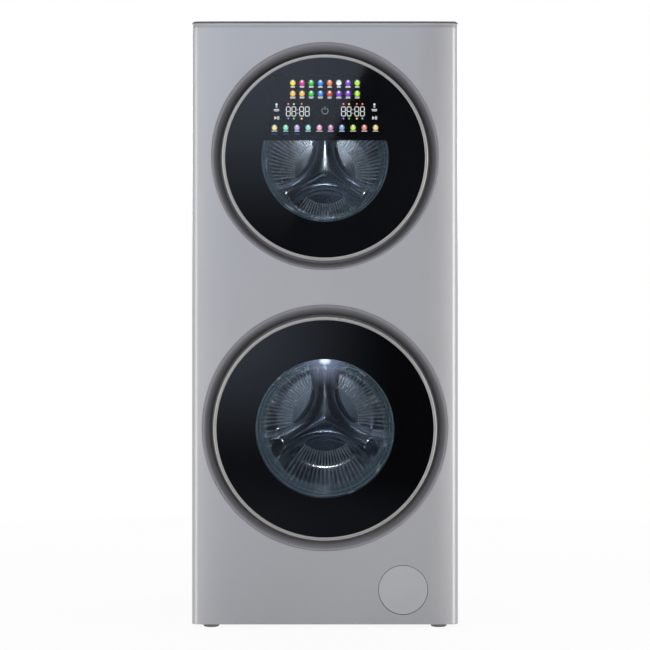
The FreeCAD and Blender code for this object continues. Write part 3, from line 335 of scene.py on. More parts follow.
def bowl_glass(name, u):
    """Pressed glass: clear in the middle and tinted near its rim, with painted highlights there (a pale band, pale
    rings and pale patches) and a painted glow beside the drum lamp.
    """
    mat, tree, out = new_material(name)
    share = from_axis(tree, u)[3].do("DIVIDE", u["window"])
    facing = Num(tree, add_node(tree, "LayerWeight", {"Blend": 0.35}).outputs["Facing"])
    shades = ramp(tree, facing, [(0.0, (0.985, 0.99, 1.0, 1)), (0.75, (0.60, 0.67, 0.70, 1)),
                                 (1.0, (0.38, 0.43, 0.46, 1))])
    through = shader(tree, "BsdfTransparent", Color=shades)
    gloss = shader(tree, "BsdfGlossy", Color=(0.94, 0.98, 1.0, 1), Roughness=0.05,
                   Normal=bump(tree, noise(tree, 26.0, 2.0), 0.12, 0.001))
    glass = mix(tree, facing.do("POWER", 2.2).fit(0.0, 1.0, 0.01, 0.7), through, gloss)

    # painted sheen and highlights: a pale diffuse veil over the band near the rim, and pale rings at the moulded steps,
    # stand in for the light the glass catches there
    cover = share.fit(0.85, 0.90, 0.0, 0.22, smooth=True)
    for at, width, strength in ((0.868, 0.011, 0.42), (0.905, 0.007, 0.25), (0.940, 0.010, 0.36), (0.985, 0.014, 0.48)):
        cover = cover + (share - at).do("ABSOLUTE").fit(0.0, width, strength, 0.0, smooth=True)
    # painted glints: pale patches from noise on the band near the rim
    painted_glints = noise(tree, 24.0).fit(0.60, 0.74, 0.0, 0.35, smooth=True)
    painted_glints = painted_glints * share.fit(0.86, 0.93, 0.0, 1.0, smooth=True)
    painted_veil_colour = ramp(tree, painted_glints, [(0.0, srgb(120, 138, 148)), (0.3, srgb(225, 236, 242))])
    veil = shader(tree, "BsdfDiffuse", Color=painted_veil_colour)
    pane = mix(tree, (cover + painted_glints).do("MINIMUM", 0.6), glass, veil)

    # painted glow: the glass is made to glow near the drum lamp, as if the lamp shone into it, wherever that glass is
    place = add_node(tree, "NewGeometry").outputs["Position"]
    lamp = (0, FRONT + 40 * MM, u["z"] + u["window"] - 8 * MM)
    away = add_node(tree, "VectorMath", {0: place, 1: lamp}, operation="SUBTRACT").outputs[0]
    away = add_node(tree, "VectorMath", {0: away, 1: (1.0, 0.35, 0.85)}, operation="MULTIPLY").outputs[0]
    away = length(tree, away)
    strength = away.fit(0.004, 0.017, 1.1, 0.0, smooth=True) + away.fit(0.0, 0.060, 0.17, 0.0, smooth=True)
    painted_shine = shader(tree, "Emission", Color=(0.62, 0.68, 1.0, 1), Strength=strength)
    join(tree, add_node(tree, "AddShader", {0: pane, 1: painted_shine}).outputs[0], out)
    return mat


def lit_marks():
    """Lit icons: a glossy ball's look painted on where the mark's own coordinates say so, with a painted highlight near
    its top and painted shade that darkens its top and edge, flat light elsewhere.
    """
    mat, tree, out = new_material("lit_marks")
    tint = add_node(tree, "Attribute", attribute_name="tint").outputs["Color"]
    x, is_ball, z = split(tree, add_node(tree, "Attribute", attribute_name="place").outputs["Vector"])
    up, down = z - 0.42, z + 0.55
    # painted highlight: a white spot near the top of each ball; painted shade: darker away from a point low on the ball
    painted_shine = (x * x + up * up).fit(0.0, 0.34, 0.85, 0.0, smooth=True) * is_ball
    dark = (x * x + down * down).fit(0.1, 1.6, 1.15, 0.45, smooth=True)
    dark = (dark - 1.0) * is_ball + 1.0
    scaled = add_node(tree, "VectorMath", {0: tint, "Scale": dark}, operation="SCALE").outputs[0]
    shown = add_node(tree, "Mix", {"Factor": painted_shine, 6: scaled, 7: (1, 1, 1, 1)}, data_type="RGBA").outputs[2]
    join(tree, shader(tree, "Emission", Color=shown, Strength=1.0), out)
    return mat


def lamp_light():
    """The lamp's lens, lit."""
    mat, tree, out = new_material("lamp_light")
    colour = ramp(tree, noise(tree, 300.0, 1.0), [(0.3, (0.72, 0.78, 1.0, 1)), (0.7, (0.82, 0.86, 1.0, 1))])
    join(tree, shader(tree, "Emission", Color=colour, Strength=4.0), out)
    return mat


M = {
    "silver": silver_paint("silver_paint", srgb(168, 167, 169)),
    "cover_silver": silver_paint("cover_paint", srgb(178, 177, 179)),
    "bezel": bezel_plastic(),
    "lid": plain("dark_lid", srgb(84, 84, 87), 0.55, vary=0.03, vary_scale=5.0, grain=1800.0, grain_strength=0.1,
                 Specular_IOR_Level=0.2),
    "zinc": plain("galvanised", srgb(150, 154, 156), 0.42, metallic=0.85, vary=0.16, vary_scale=34.0, rough_vary=0.1,
                  grain=260.0, grain_strength=0.1),
    "black": plain("black_plastic", srgb(34, 34, 36), 0.46, vary=0.08, vary_scale=25.0, grain=1100.0,
                   grain_strength=0.35),
    "foot": plain("foot_plastic", srgb(98, 98, 100), 0.5, vary=0.1, vary_scale=60.0, grain=1400.0,
                  grain_strength=0.35),
    "chrome": plain("bright_trim", srgb(166, 163, 159), 0.3, metallic=0.55, vary=0.015, vary_scale=30.0,
                    rough_vary=0.03, grain=900.0, grain_strength=0.03, grain_depth=0.00002),
    "steel": brushed("zinc_steel", srgb(160, 162, 166), 0.34, (1, 1, 30)),
    "board": plain("display_board_black", srgb(9, 9, 10), 0.8, vary=0.1, vary_scale=5.0, grain=900.0,
                   grain_strength=0.05, Specular_IOR_Level=0.0),
    "rubber": plain("gasket_rubber", srgb(88, 92, 96), 0.55, vary=0.08, vary_scale=30.0, grain=900.0,
                    grain_strength=0.25, Sheen_Weight=0.15),
    "tub": plain("filled_polypropylene", srgb(186, 188, 186), 0.5, vary=0.05, vary_scale=16.0, grain=500.0,
                 grain_strength=0.3),
    "concrete": plain("cast_block", srgb(112, 110, 106), 0.85, vary=0.16, vary_scale=60.0, rough_vary=0.08,
                      grain=420.0, grain_strength=0.7, grain_depth=0.0006),
    "lamination": brushed("motor_steel", srgb(96, 99, 104), 0.4, (1, 40, 1)),
    "duct": plain("duct_sheet", srgb(170, 173, 175), 0.38, metallic=0.9, vary=0.14, vary_scale=28.0, grain=240.0,
                  grain_strength=0.1),
    "drum": brushed("drum_steel", srgb(158, 164, 172), 0.17, (1, 1, 1), anisotropic=0.3),
    # painted shade and glint: dark discs stand for the holes' openings onto the shaded space behind, and the rims are a
    # lighter copy of the drum steel so they show as bright dots
    "hole": plain("drum_hole", srgb(12, 14, 17), 0.6, vary=0.2, vary_scale=120.0, grain=800.0),
    "flare": plain("hole_flare", srgb(196, 204, 210), 0.3, metallic=0.6, vary=0.05, vary_scale=90.0, grain=800.0),
    "lifter": plain("lifter_plastic", srgb(168, 174, 182), 0.26, metallic=0.5, vary=0.04, vary_scale=22.0,
                    grain=700.0, grain_strength=0.1, Coat_Weight=0.3),
    "cast": plain("cast_aluminium", srgb(168, 170, 174), 0.5, metallic=0.9, vary=0.08, vary_scale=45.0, grain=350.0,
                  grain_strength=0.5, grain_depth=0.0003),
    "filter": plain("filter_plastic", srgb(70, 98, 138), 0.42, vary=0.06, vary_scale=40.0, grain=900.0,
                    grain_strength=0.3),
    "valve": plain("valve_plastic", srgb(222, 222, 216), 0.45, vary=0.04, vary_scale=40.0, grain=900.0,
                   grain_strength=0.3),
    "spring": brushed("spring_steel", srgb(120, 122, 126), 0.3, (1, 1, 1)),
    "lens": lamp_light(),
    "marks": lit_marks(),
}


# ---- mesh helpers

def grid(rows, columns, close_rows=True, close_columns=True):
    """Four-sided faces over points that are numbered row by row, closed round either way."""
    faces = []
    for i in range(rows if close_rows else rows - 1):
        j = (i + 1) % rows
        for k in range(columns if close_columns else columns - 1):
            n = (k + 1) % columns
            faces.append((i * columns + k, i * columns + n, j * columns + n, j * columns + k))
    return faces


def piece(name, vertices, faces, material, slot_name, smooth_angle=35.0):
    """A new mesh object with smooth shading up to that angle between faces."""
    mesh = bpy.data.meshes.new(name)
    mesh.from_pydata([tuple(v) for v in vertices], [], [tuple(f) for f in faces])
    mesh.validate()
    mesh.update()
    mesh.shade_smooth()
    if smooth_angle is not None:
        mesh.set_sharp_from_angle(angle=math.radians(smooth_angle))
    obj = bpy.data.objects.new(name, mesh)
    bpy.context.scene.collection.objects.link(obj)
    mesh.materials.append(material)
    return obj


def around(count, turn=0.0):
    """(cosine, sine) of evenly spaced directions."""
    angles = [2 * PI * (i + turn) / count for i in range(count)]
    return [(math.cos(a), math.sin(a)) for a in angles]


def lathe(profile, z, segments=192, closed=True, y0=0.0, x0=0.0):
    """Vertices and faces of (radius, y) points, in millimetres, turned about the axis along Y at height z."""
    vertices = [(x0 + r * MM * c, y0 + y * MM, z + r * MM * s) for c, s in around(segments) for r, y in profile]
    return vertices, grid(segments, len(profile), True, closed)


def lathe_z(profile, x, y, segments=32):
    """(radius, z) points in metres turned about a vertical line."""
    count = len(profile)
    vertices = [(x + r * c, y + r * s, z) for c, s in around(segments) for r, z in profile]
    faces = [face[::-1] for face in grid(segments, count, True, False)]
    faces.append(tuple(i * count for i in reversed(range(segments))))
    faces.append(tuple(i * count + count - 1 for i in range(segments)))
    return vertices, faces


def tube(path, radius, sides):
    """A round tube along a path."""
    vertices = []
    previous = Vector((0.3, 0.9, 0.1))
    for i, p in enumerate(path):
        ahead = (path[min(i + 1, len(path) - 1)] - path[max(i - 1, 0)]).normalized()
        previous = (previous - ahead * previous.dot(ahead)).normalized()
        other = ahead.cross(previous)
        vertices += [tuple(p + (previous * c + other * s) * radius) for c, s in around(sides)]
    faces = grid(len(path), sides, False)
    faces.append(tuple(range(sides)))
    faces.append(tuple((len(path) - 1) * sides + k for k in reversed(range(sides))))
    return vertices, faces


def arc(cx, cy, radius, start, stop, steps):
    """Points along an arc, angles in degrees."""
    angles = [math.radians(start + (stop - start) * i / steps) for i in range(steps + 1)]
    return [(cx + radius * math.cos(a), cy + radius * math.sin(a)) for a in angles]


def merge(parts):
    """One vertex and face list from several."""
    vertices, faces = [], []
    for v, f in parts:
        base = len(vertices)
        vertices += list(v)
        faces += [tuple(i + base for i in face) for face in f]
    return vertices, faces


def bevelled_box(x0, x1, y0, y1, z0, z1, b):
    """A box with chamfered edges."""
    ends = ((x0, x1), (y0, y1), (z0, z1))
    corners = [(i, j, k) for i in (0, 1) for j in (0, 1) for k in (0, 1)]
    vertices, index = [], {}
    for corner in corners:
        for axis in range(3):
            index[corner + (axis,)] = len(vertices)
            vertices.append(tuple(ends[o][c] + (0 if o == axis else b * (1 - 2 * c)) for o, c in enumerate(corner)))
    faces = [tuple(index[corner + (axis,)] for axis in range(3)) for corner in corners]
    for axis in range(3):
        u, w = [a for a in range(3) if a != axis]

        def at(side, a, c):
            key = [0, 0, 0]
            key[axis], key[u], key[w] = side, a, c
            return tuple(key)

        for side in (0, 1):
            faces.append([index[at(side, a, c) + (axis,)] for a, c in ((0, 0), (1, 0), (1, 1), (0, 1))])
        for a in (0, 1):
            for c in (0, 1):
                near, far = at(0, a, c), at(1, a, c)
                faces.append((index[near + (u,)], index[near + (w,)], index[far + (w,)], index[far + (u,)]))
    return vertices, faces


def fix_normals(obj):
    """Turns every face outwards."""
    bm = bmesh.new()
    bm.from_mesh(obj.data)
    bmesh.ops.recalc_face_normals(bm, faces=bm.faces)
    bm.to_mesh(obj.data)
    bm.free()
    return obj


def dress(node, material, bevel=0.0, segments=2):
    """A CAD node as it is, with its own material and softened edges."""
    obj = NODES[node]
    obj.data.materials.clear()
    obj.data.materials.append(material)
    weld = obj.modifiers.new("weld", "WELD")
    weld.merge_threshold = 1e-6
    if bevel:
        soft = obj.modifiers.new("bevel", "BEVEL")
        soft.width = bevel * MM
        soft.segments = segments
        soft.limit_method = "ANGLE"
        soft.angle_limit = math.radians(40)
        soft.harden_normals = True
        soft.use_clamp_overlap = True
    return obj


# ---- cabinet

def plan_points(columns):
    """The front sheet seen from above, left to right: (x, y, outward x, outward y), through the given columns."""
    crown_y = PANEL + CROWN_R
    corner_x = SIDE - CORNER_R
    corner_y = crown_y - math.sqrt((CROWN_R - CORNER_R) ** 2 - (corner_x - CROWN_START) ** 2)
    lean = math.atan2(corner_x - CROWN_START, crown_y - corner_y)
    tangent_x = CROWN_START + CROWN_R * math.sin(lean)
    right = []
    for x in sorted({round(c, 6) for c in columns if 0 <= c < tangent_x - 0.2 * MM}):
        if x <= CROWN_START:
            right.append((x, PANEL, 0.0, -1.0))
        else:
            a = math.asin((x - CROWN_START) / CROWN_R)
            right.append((x, crown_y - CROWN_R * math.cos(a), math.sin(a), -math.cos(a)))
    for i in range(13):
        a = lean + (PI / 2 - lean) * i / 12
        right.append((corner_x + CORNER_R * math.sin(a), corner_y - CORNER_R * math.cos(a), math.sin(a), -math.cos(a)))
    right.append((SIDE, PANEL + RETURN_DEPTH, 1.0, 0.0))
    left = [(-x, y, -nx, ny) for x, y, nx, ny in reversed(right) if x > 1e-9]
    return left + right


def front_panel():
    """The front sheet: a crowned face, rounded corners, a stepped strip along the top and three round openings."""
    cover = centre("filter_cover")
    hole_r = half("filter_cover").x + COVER_GAP
    holes = [(0.0, u["z"] + u["lift"], u["bezel"]) for u in UNITS.values()] + [(cover.x, cover.z, hole_r)]
    columns = [i * 12 * MM for i in range(26)] + [CROWN_START, 284.5 * MM, 285.5 * MM]
    for x, _, r in holes:
        count = 96 if r > 0.1 else 40
        columns += [x + r * math.cos(PI * i / count) for i in range(count + 1)]
        columns += [-(x + r * math.cos(PI * i / count)) for i in range(count + 1)]
    outline = plan_points(columns)
    low = [(BOTTOM, 0.9), (BOTTOM + 0.2 * MM, 0.35), (BOTTOM + 0.9 * MM, 0.0), (BOTTOM + 1.6 * MM, 0.0)]
    high = [(STEP_Z - 1.4 * MM, 0.0), (STEP_Z - 0.7 * MM, 0.0), (STEP_Z - 0.2 * MM, 0.15), (STEP_Z, STEP_IN),
            (SHEET_TOP - 0.3 * MM, STEP_IN), (SHEET_TOP, 0.8)]
    vertices, faces, index = [], [], {}

    def point(i, z, inset, layer):
        key = (i, round(z, 7), layer)
        if key not in index:
            x, y, nx, ny = outline[i]
            back = inset * MM if layer == 0 else STEP_IN * MM + SHEET
            index[key] = len(vertices)
            vertices.append((x - nx * back, y - ny * back, z))
        return index[key]

    def cut(i):
        """Heights at which the column through point i meets the openings, one low and high pair each."""
        pairs = []
        for x, z, r in holes:
            off = outline[i][0] - x
            across = math.sqrt(max(0.0, r * r - off * off))
            pairs.append((z - across, z + across))
        return pairs

    for i in range(len(outline) - 1):
        middle = (outline[i][0] + outline[i + 1][0]) / 2
        here, there = cut(i), cut(i + 1)
        crossed = [k for k, (x, _, r) in enumerate(holes) if abs(middle - x) < r and outline[i][0] != outline[i + 1][0]]
        crossed.sort(key=lambda k: holes[k][1])
        levels = [((z, inset), (z, inset), False) for z, inset in low]
        for k in crossed:
            levels.append(((here[k][0], 0.0), (there[k][0], 0.0), True))
            levels.append(((here[k][1], 0.0), (there[k][1], 0.0), False))
        levels += [((z, inset), (z, inset), False) for z, inset in high]
        for (a, b, opening), (c, d, _) in zip(levels, levels[1:]):
            if opening:
                continue
            for layer in (0, 1):
                quad = [point(i, *a, layer), point(i + 1, *b, layer), point(i + 1, *d, layer), point(i, *c, layer)]
                quad = list(dict.fromkeys(quad))
                if len(quad) > 2:
                    faces.append(quad if layer == 0 else quad[::-1])
        rims = [(levels[0][0], levels[0][1])] + [(a, b) for k, (a, b, opening) in enumerate(levels)
                                                 if opening or levels[k - 1][2]] + [(levels[-1][0], levels[-1][1])]
        for a, b in rims:
            quad = [point(i, *a, 0), point(i, *a, 1), point(i + 1, *b, 1), point(i + 1, *b, 0)]
            quad = list(dict.fromkeys(quad))
            if len(quad) > 2:
                faces.append(quad)
    obj = piece("front_sheet", vertices, faces, M["silver"], "silver_paint", 40)
    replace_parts(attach(fix_normals(obj), "cabinet"), "front_panel")


def cabinet():
    """Cabinet sheets and inner parts that keep their CAD shape."""
    front_panel()
    for node in ("side_panel_left", "side_panel_right"):
        dress(node, M["silver"])
    dress("top_cover", M["lid"], 0.8, 3)
    dress("rear_panel", M["zinc"])
    for node in ("base_frame", "cross_rails"):
        dress(node, M["zinc"], 0.6)
    for node in ("control_box", "door_locks", "filter_pocket", "drain_pump", "rear_fittings"):
        dress(node, M["black"], 0.8)
    dress("inlet_valve", M["valve"], 0.8)
    dress("hinge_brackets", M["steel"], 0.4)
    dress("drain_filter", M["filter"], 0.8)


def bezel(u):
    """The dished ring: a soft rim, a concave dish that is off centre, and a floor with the latch's opening."""
    segments = 288
    rim_r, floor_r = u["bezel"] / MM - 0.4, u["ring"] / MM + 5
    mouth = u["window"] / MM + 30
    lift, z, floor_y = u["lift"], u["z"], (u["floor"] - FRONT) / MM
    rim_y = 8.0
    rings = [(rim_r, 22.0, 1.0), (rim_r, rim_y + 1.0, 1.0)]
    rings += [(rim_r - 1.0 + r, rim_y + 1.0 - y, 1.0) for r, y in arc(0, 0, 1.0, 20, 90, 4)]
    rings.append((rim_r - 2.0, rim_y + 0.05, 1.0))
    steps = 26
    inner_r = rim_r - 2.6
    for i in range(steps + 1):
        s = i / steps
        deep = s ** 1.6
        rings.append((inner_r + (floor_r - inner_r) * s, rim_y + 0.4 + (floor_y - rim_y - 0.4) * deep, 1 - s))
    latch_in, latch_out = u["window"] / MM + 50, u["window"] / MM + 71
    flat = [(latch_out, floor_y, 0.0), (latch_in, floor_y, 0.0), (mouth + 1, floor_y, 0.0), (mouth, floor_y + 1, 0.0),
            (mouth, floor_y + 2.4, 0.0)]
    start_flat = len(rings)
    rings += flat
    back = [(latch_in, floor_y + 2.4, 0.0), (latch_out, floor_y + 2.4, 0.0), (floor_r + 2.4, floor_y + 2.4, 0.0),
            (rim_r - 1, 24.0, 1.0)]
    rings += back
    vertices = [(r * MM * c, FRONT + y * MM, z + lift * up + r * MM * s)
                for c, s in around(segments) for r, y, up in rings]
    gap = 10 / (u["window"] / MM + 60)
    holes = {start_flat, start_flat + 5}
    count = len(rings)

    def open_at(i, k):
        """True where the latch's opening takes the place of a face."""
        turn = 2 * PI * (i + 0.5) / segments
        return k in holes and abs((turn + PI) % (2 * PI) - PI) < gap

    faces = [face for n, face in enumerate(grid(segments, count)) if not open_at(*divmod(n, count))]
    obj = piece(f"{u['name']}_bezel_dish", vertices, faces, M["bezel"], "dark_bezel")
    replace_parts(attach(obj, "cabinet"), f"{u['name']}_bezel")


def gasket(u):
    """The bellows: a round door lip, two folds and the cuff clamped on the tub's collar."""
    w = u["window"] / MM
    cuff = (u["collar"] - FRONT) / MM
    outer = arc(w + 18.4, 33.0, 2.4, 180, 270, 6) + arc(w + 31.0, 33.4, 2.8, 270, 360, 6)
    outer += [(w + 33.8, 39.6), (w + 29.6, 39.8), (w + 29.6, 49.0)]
    outer += arc(w + 41.5, 58.0, 2.6, -110, 0, 6) + arc(w + 41.5, 66.0, 2.6, 0, 110, 6)
    outer += [(w + 29.4, 73.0), (w + 29.2, 80.0), (w + 29.9, 81.5), (w + 29.9, 85.5), (w + 29.2, cuff - 1.0)]
    inner = [(w + 26.4, cuff - 1.0), (w + 26.4, 72.5)]
    inner += arc(w + 38.6, 63.6, 1.9, 80, -80, 6) + [(w + 26.9, 52.5), (w + 26.6, 42.0)]
    inner += arc(w + 19.0, 36.0, 2.0, 60, 190, 6)
    obj = piece(f"{u['name']}_bellows", *lathe(outer + inner, u["z"], 192, y0=FRONT), M["rubber"], "grey_rubber", 50)
    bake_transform(obj)
    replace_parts(obj, f"{u['name']}_gasket")


# ---- doors

def trim(u):
    """The bright ring: a soft crown on the front, a thin step down to the glass."""
    r = u["ring"] / MM
    profile = [(r - 7.0, 1.8), (r - 7.0, 1.1)] + arc(r - 5.9, 1.1, 1.1, 180, 270, 4)
    profile += [(r - 4.6, 0.0), (r - 2.4, 0.0)] + arc(r - 2.4, 2.4, 2.4, 270, 360, 7)
    profile += [(r, 10.4), (r - 0.6, 11.0), (r - 2.8, 11.0), (r - 2.8, 5.0), (r - 6.5, 5.0)]
    obj = piece(f"{u['name']}_trim_ring", *lathe(profile, u["z"], 288, y0=FRONT), M["chrome"], "chrome", 40)
    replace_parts(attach(fix_normals(obj), f"{u['name']}_door"), f"{u['name']}_door_trim")


def bowl(u):
    """The glass bowl: a thick flange, a stepped shoulder, sloping sides and a domed end."""
    w = u["window"] / MM
    tip = (u["tip"] - FRONT) / MM
    outer = [(w + 15.6, 22.2), (w + 16.0, 22.6), (w + 16.0, 26.6), (w + 15.6, 27.0), (w + 7.0, 27.0)]
    outer += [(w + 5.6, 27.8), (w + 4.2, 31.0), (w - 1.0, 52.0), (w - 7.5, 74.0)]
    outer += arc(w - 27.0, 82.5, 17.5, 8, 82, 8)
    outer += [(w * 0.62, tip - 3.2), (w * 0.36, tip - 1.2), (w * 0.12, tip - 0.1), (0.5, tip)]
    inner = [(0.5, tip - 5.0), (w * 0.12, tip - 5.1), (w * 0.36, tip - 6.2), (w * 0.62, tip - 8.4)]
    inner += arc(w - 29.0, 80.0, 13.5, 80, 10, 7)
    inner += [(w - 13.0, 72.0), (w - 9.4, 58.0), (w - 8.8, 54.5), (w - 7.4, 53.5), (w - 4.6, 42.0), (w - 4.0, 38.5),
              (w - 2.4, 37.5), (w - 0.6, 28.5), (w + 1.0, 22.4), (w + 1.6, 22.2)]
    obj = piece(f"{u['name']}_glass_bowl", *lathe(outer + inner, u["z"], 224, y0=FRONT),
                bowl_glass(f"{u['name']}_bowl_glass", u), "clear_glass", 60)
    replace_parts(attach(fix_normals(obj), f"{u['name']}_door"), f"{u['name']}_door_bowl")


def screws(name, places, y, radius, body):
    """Pan-head screws with a cross recess, at (x, z) places on a plane of constant y."""
    profile = [(radius * 0.98, 0.0), (radius, 0.25), (radius * 0.93, 0.8), (radius * 0.75, 1.25), (radius * 0.4, 1.5),
               (0.05, 1.55)]
    parts = []
    for x, z in places:
        parts.append(lathe(profile, z, 20, closed=False, y0=y, x0=x))
        for a, b in ((radius * 0.12, radius * 0.55), (radius * 0.55, radius * 0.12)):
            parts.append(bevelled_box(x - a * MM, x + a * MM, y + 0.9 * MM, y + 1.7 * MM, z - b * MM, z + b * MM,
                                      0.05 * MM))
    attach(fix_normals(piece(name, *merge(parts), M["steel"], "hinge_metal")), body)


def door(u):
    """One door."""
    name, body = u["name"], f"{u['name']}_door"
    glass = dress(f"{name}_door_glass", window_glass(f"{name}_glass_material", u))
    glass.modifiers.clear()
    dress(f"{name}_door_frame", M["black"], 0.5)
    dress(f"{name}_door_liner", M["black"], 0.8, 3)
    dress(f"{name}_door_fittings", M["steel"], 0.4)
    trim(u)
    bowl(u)
    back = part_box(f"{name}_door_liner")[1].y
    r = (u["ring"] + u["window"]) / 2 / MM + 10
    places = [(r * MM * c, u["z"] + r * MM * s) for c, s in around(8, 0.5)]
    screws(f"{name}_liner_screws", places, back, 3.6, body)


# ---- display

YELLOW, MAGENTA, GREEN, BLUE = (250, 225, 20), (235, 20, 140), (20, 205, 40), (45, 140, 245)
ORANGE, WHITE, PURPLE, LIME = (250, 120, 20), (235, 242, 248), (140, 50, 225), (175, 235, 30)
GOLD, RED, TEAL, PINK = (250, 195, 30), (225, 60, 30), (20, 190, 150), (240, 60, 150)


class Marks:
    """Collects flat marks on the display's plane, each with its colour and its own coordinates."""

    def __init__(self, z, y):
        self.z, self.y = z, y
        self.vertices, self.faces, self.tints, self.places = [], [], [], []

    def add(self, outline, colour, dx, dz, ball=0.0, scale=1.0, depth=0.25):
        """One mark, from an outline of (x, z) points in millimetres about (dx, dz)."""
        base, n = len(self.vertices), len(outline)
        for layer in (0.0, depth):
            for x, z in outline:
                self.vertices.append(((dx + x) * MM, self.y + layer * MM, self.z + (dz + z) * MM))
                self.places.append((x / scale, ball, z / scale))
                self.tints.append(srgb(*colour))
        if ball:
            hub = len(self.vertices)
            self.vertices.append((dx * MM, self.y - 0.1 * MM, self.z + dz * MM))
            self.places.append((0.0, ball, 0.0))
            self.tints.append(srgb(*colour))
            self.faces += [(base + i, base + (i + 1) % n, hub) for i in range(n)]
        else:
            self.faces.append(tuple(base + i for i in range(n)))
        self.faces.append(tuple(base + n + i for i in reversed(range(n))))
        for i in range(n):
            j = (i + 1) % n
            self.faces.append((base + i, base + n + i, base + n + j, base + j))

    def disc(self, dx, dz, radius, colour, ball=1.0, sides=28):
        """A round mark, shaded as a ball unless ball is 0."""
        points = arc(0, 0, radius, 0, 360 * (sides - 1) / sides, sides - 1)
        self.add(points, colour, dx, dz, ball, radius)

    def bar(self, dx, dz, wide, tall, colour):
        """A small bar with cut corners."""
        w, t = wide / 2, tall / 2
        c = min(w, t) * 0.5
        points = [(-w + c, -t), (w - c, -t), (w, -t + c), (w, t - c),
                  (w - c, t), (-w + c, t), (-w, t - c), (-w, -t + c)]
        self.add(points, colour, dx, dz)

    def build(self, name, body):
        """All the marks as one piece, with their colours and coordinates."""
        obj = piece(name, self.vertices, self.faces, M["marks"], "display", 20)
        tint = obj.data.attributes.new("tint", "FLOAT_COLOR", "POINT")
        tint.data.foreach_set("color", np.array(self.tints, np.float32).ravel())
        place = obj.data.attributes.new("place", "FLOAT_VECTOR", "POINT")
        place.data.foreach_set("vector", np.array(self.places, np.float32).ravel())
        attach(fix_normals(obj), body)


def digit(marks, dx, dz, wide, tall, colour):
    """A seven-segment eight."""
    t, g = 1.7, 0.45
    upper = tall / 4
    for level in (-1, 0, 1):
        h, w = t / 2, wide / 2 - g - t * 0.3
        outline = [(-w, 0), (-w + h, -h), (w - h, -h), (w, 0), (w - h, h), (-w + h, h)]
        marks.add(outline, colour, dx, dz + level * (tall / 2 - t / 2))
    for side in (-1, 1):
        for level in (-1, 1):
            h, w = t / 2, upper - g - t * 0.3
            outline = [(0, -w), (h, -w + h), (h, w - h), (0, w), (-h, w - h), (-h, -w + h)]
            marks.add(outline, colour, dx + side * (wide / 2 - t / 2), dz + level * (upper - t / 4))


def display():
    """The board behind the glass and its lit marks: two rows of balls, two clocks and a row of options."""
    u = UNITS["upper"]
    low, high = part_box("display_board")
    body = "upper_door"
    board = piece("display_panel", *bevelled_box(low.x, high.x, low.y + 0.5 * MM, high.y, low.z, high.z, 0.4 * MM),
                  M["board"], "display")
    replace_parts(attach(fix_normals(board), body), "display_board")
    face = low.y + 0.15 * MM
    soft = (232, 234, 236)

    balls = Marks(u["z"], face)
    labels = Marks(u["z"], face)
    widths = random.Random(7)
    rows = (
        (168.9, 20.7, 6.45, (YELLOW, MAGENTA, GREEN, BLUE, ORANGE, WHITE, PURPLE, LIME)),
        (144.8, 20.7, 6.45, (GOLD, GOLD, GREEN, BLUE, RED, PURPLE, PURPLE, LIME)),
        (68.2, 25.25, 6.25, ((236, 222, 120), (120, 225, 180), (190, 160, 235), (130, 215, 215), (240, 160, 205),
                             (215, 120, 200), (120, 165, 225), (190, 230, 60), (240, 130, 120), (240, 205, 120))),
    )
    for height, pitch, radius, colours in rows:
        first = -pitch * (len(colours) - 1) / 2
        for i, colour in enumerate(colours):
            x = first + pitch * i
            balls.disc(x, height, radius, colour)
            for line in range(1 if height < 100 else 2):
                wide = widths.uniform(8.5, 12.5) if height > 100 else widths.uniform(11.0, 15.0)
                labels.bar(x, height - 8.3 - 2.3 * line, wide, 1.5, soft)
            if height < 100 and i < 3:
                labels.bar(x, height - 15.0, 12.5, 1.2, (40, 95, 190))

    clocks = Marks(u["z"], face)
    for left, dots_up, dots_down in (
        (-88.0, (PINK, LIME, RED, None), (PURPLE, GREEN, GOLD, None)),
        (36.0, (PINK, YELLOW, RED, ORANGE), (PURPLE, GREEN, GOLD, TEAL)),
    ):
        for i, x in enumerate((5.5, 18.0, 35.5, 48.0)):
            digit(clocks, left + x, 104.0, 10.6, 22.0, soft)
            for colours, height in ((dots_up, 120.5), (dots_down, 88.0)):
                if colours[i]:
                    balls.disc(left + x, height, 2.3, colours[i], sides=16)
        for height in (100.2, 107.8):
            clocks.disc(left + 26.8, height, 1.0, soft, ball=0.0, sides=12)
    ring = arc(0, 0, 7.6, 120, 420, 30)
    inner = arc(0, 0, 6.4, 420, 120, 30)
    for (x0, z0), (x1, z1), (x2, z2), (x3, z3) in zip(ring, ring[1:], inner[::-1][1:], inner[::-1]):
        clocks.add([(x0, z0), (x1, z1), (x2, z2), (x3, z3)], (150, 152, 156), 0, 105.5)
    clocks.bar(0, 111.2, 1.3, 8.4, (150, 152, 156))
    for x in (-109.0, 111.0):
        clocks.disc(x, 119.8, 2.6, soft, ball=0.0, sides=16)
        clocks.bar(x, 114.4, 4.2, 5.0, (170, 172, 176))
        labels.bar(x, 108.4, 12.4, 1.7, soft)
        labels.bar(x, 105.4, 11.0, 1.6, soft)
        clocks.add([(-4.6, -4.2), (1.0, 0.0), (-4.6, 4.2)], soft, x, 89.5)
        for dx in (2.4, 5.2):
            clocks.bar(x + dx, 89.5, 1.5, 8.0, soft)
    balls.build("display_balls", body)
    labels.build("display_bars", body)
    clocks.build("display_clocks", body)


# ---- drums

LOBES = (30.0, 150.0, 270.0)
ARMS = (90.0, 210.0, 330.0)


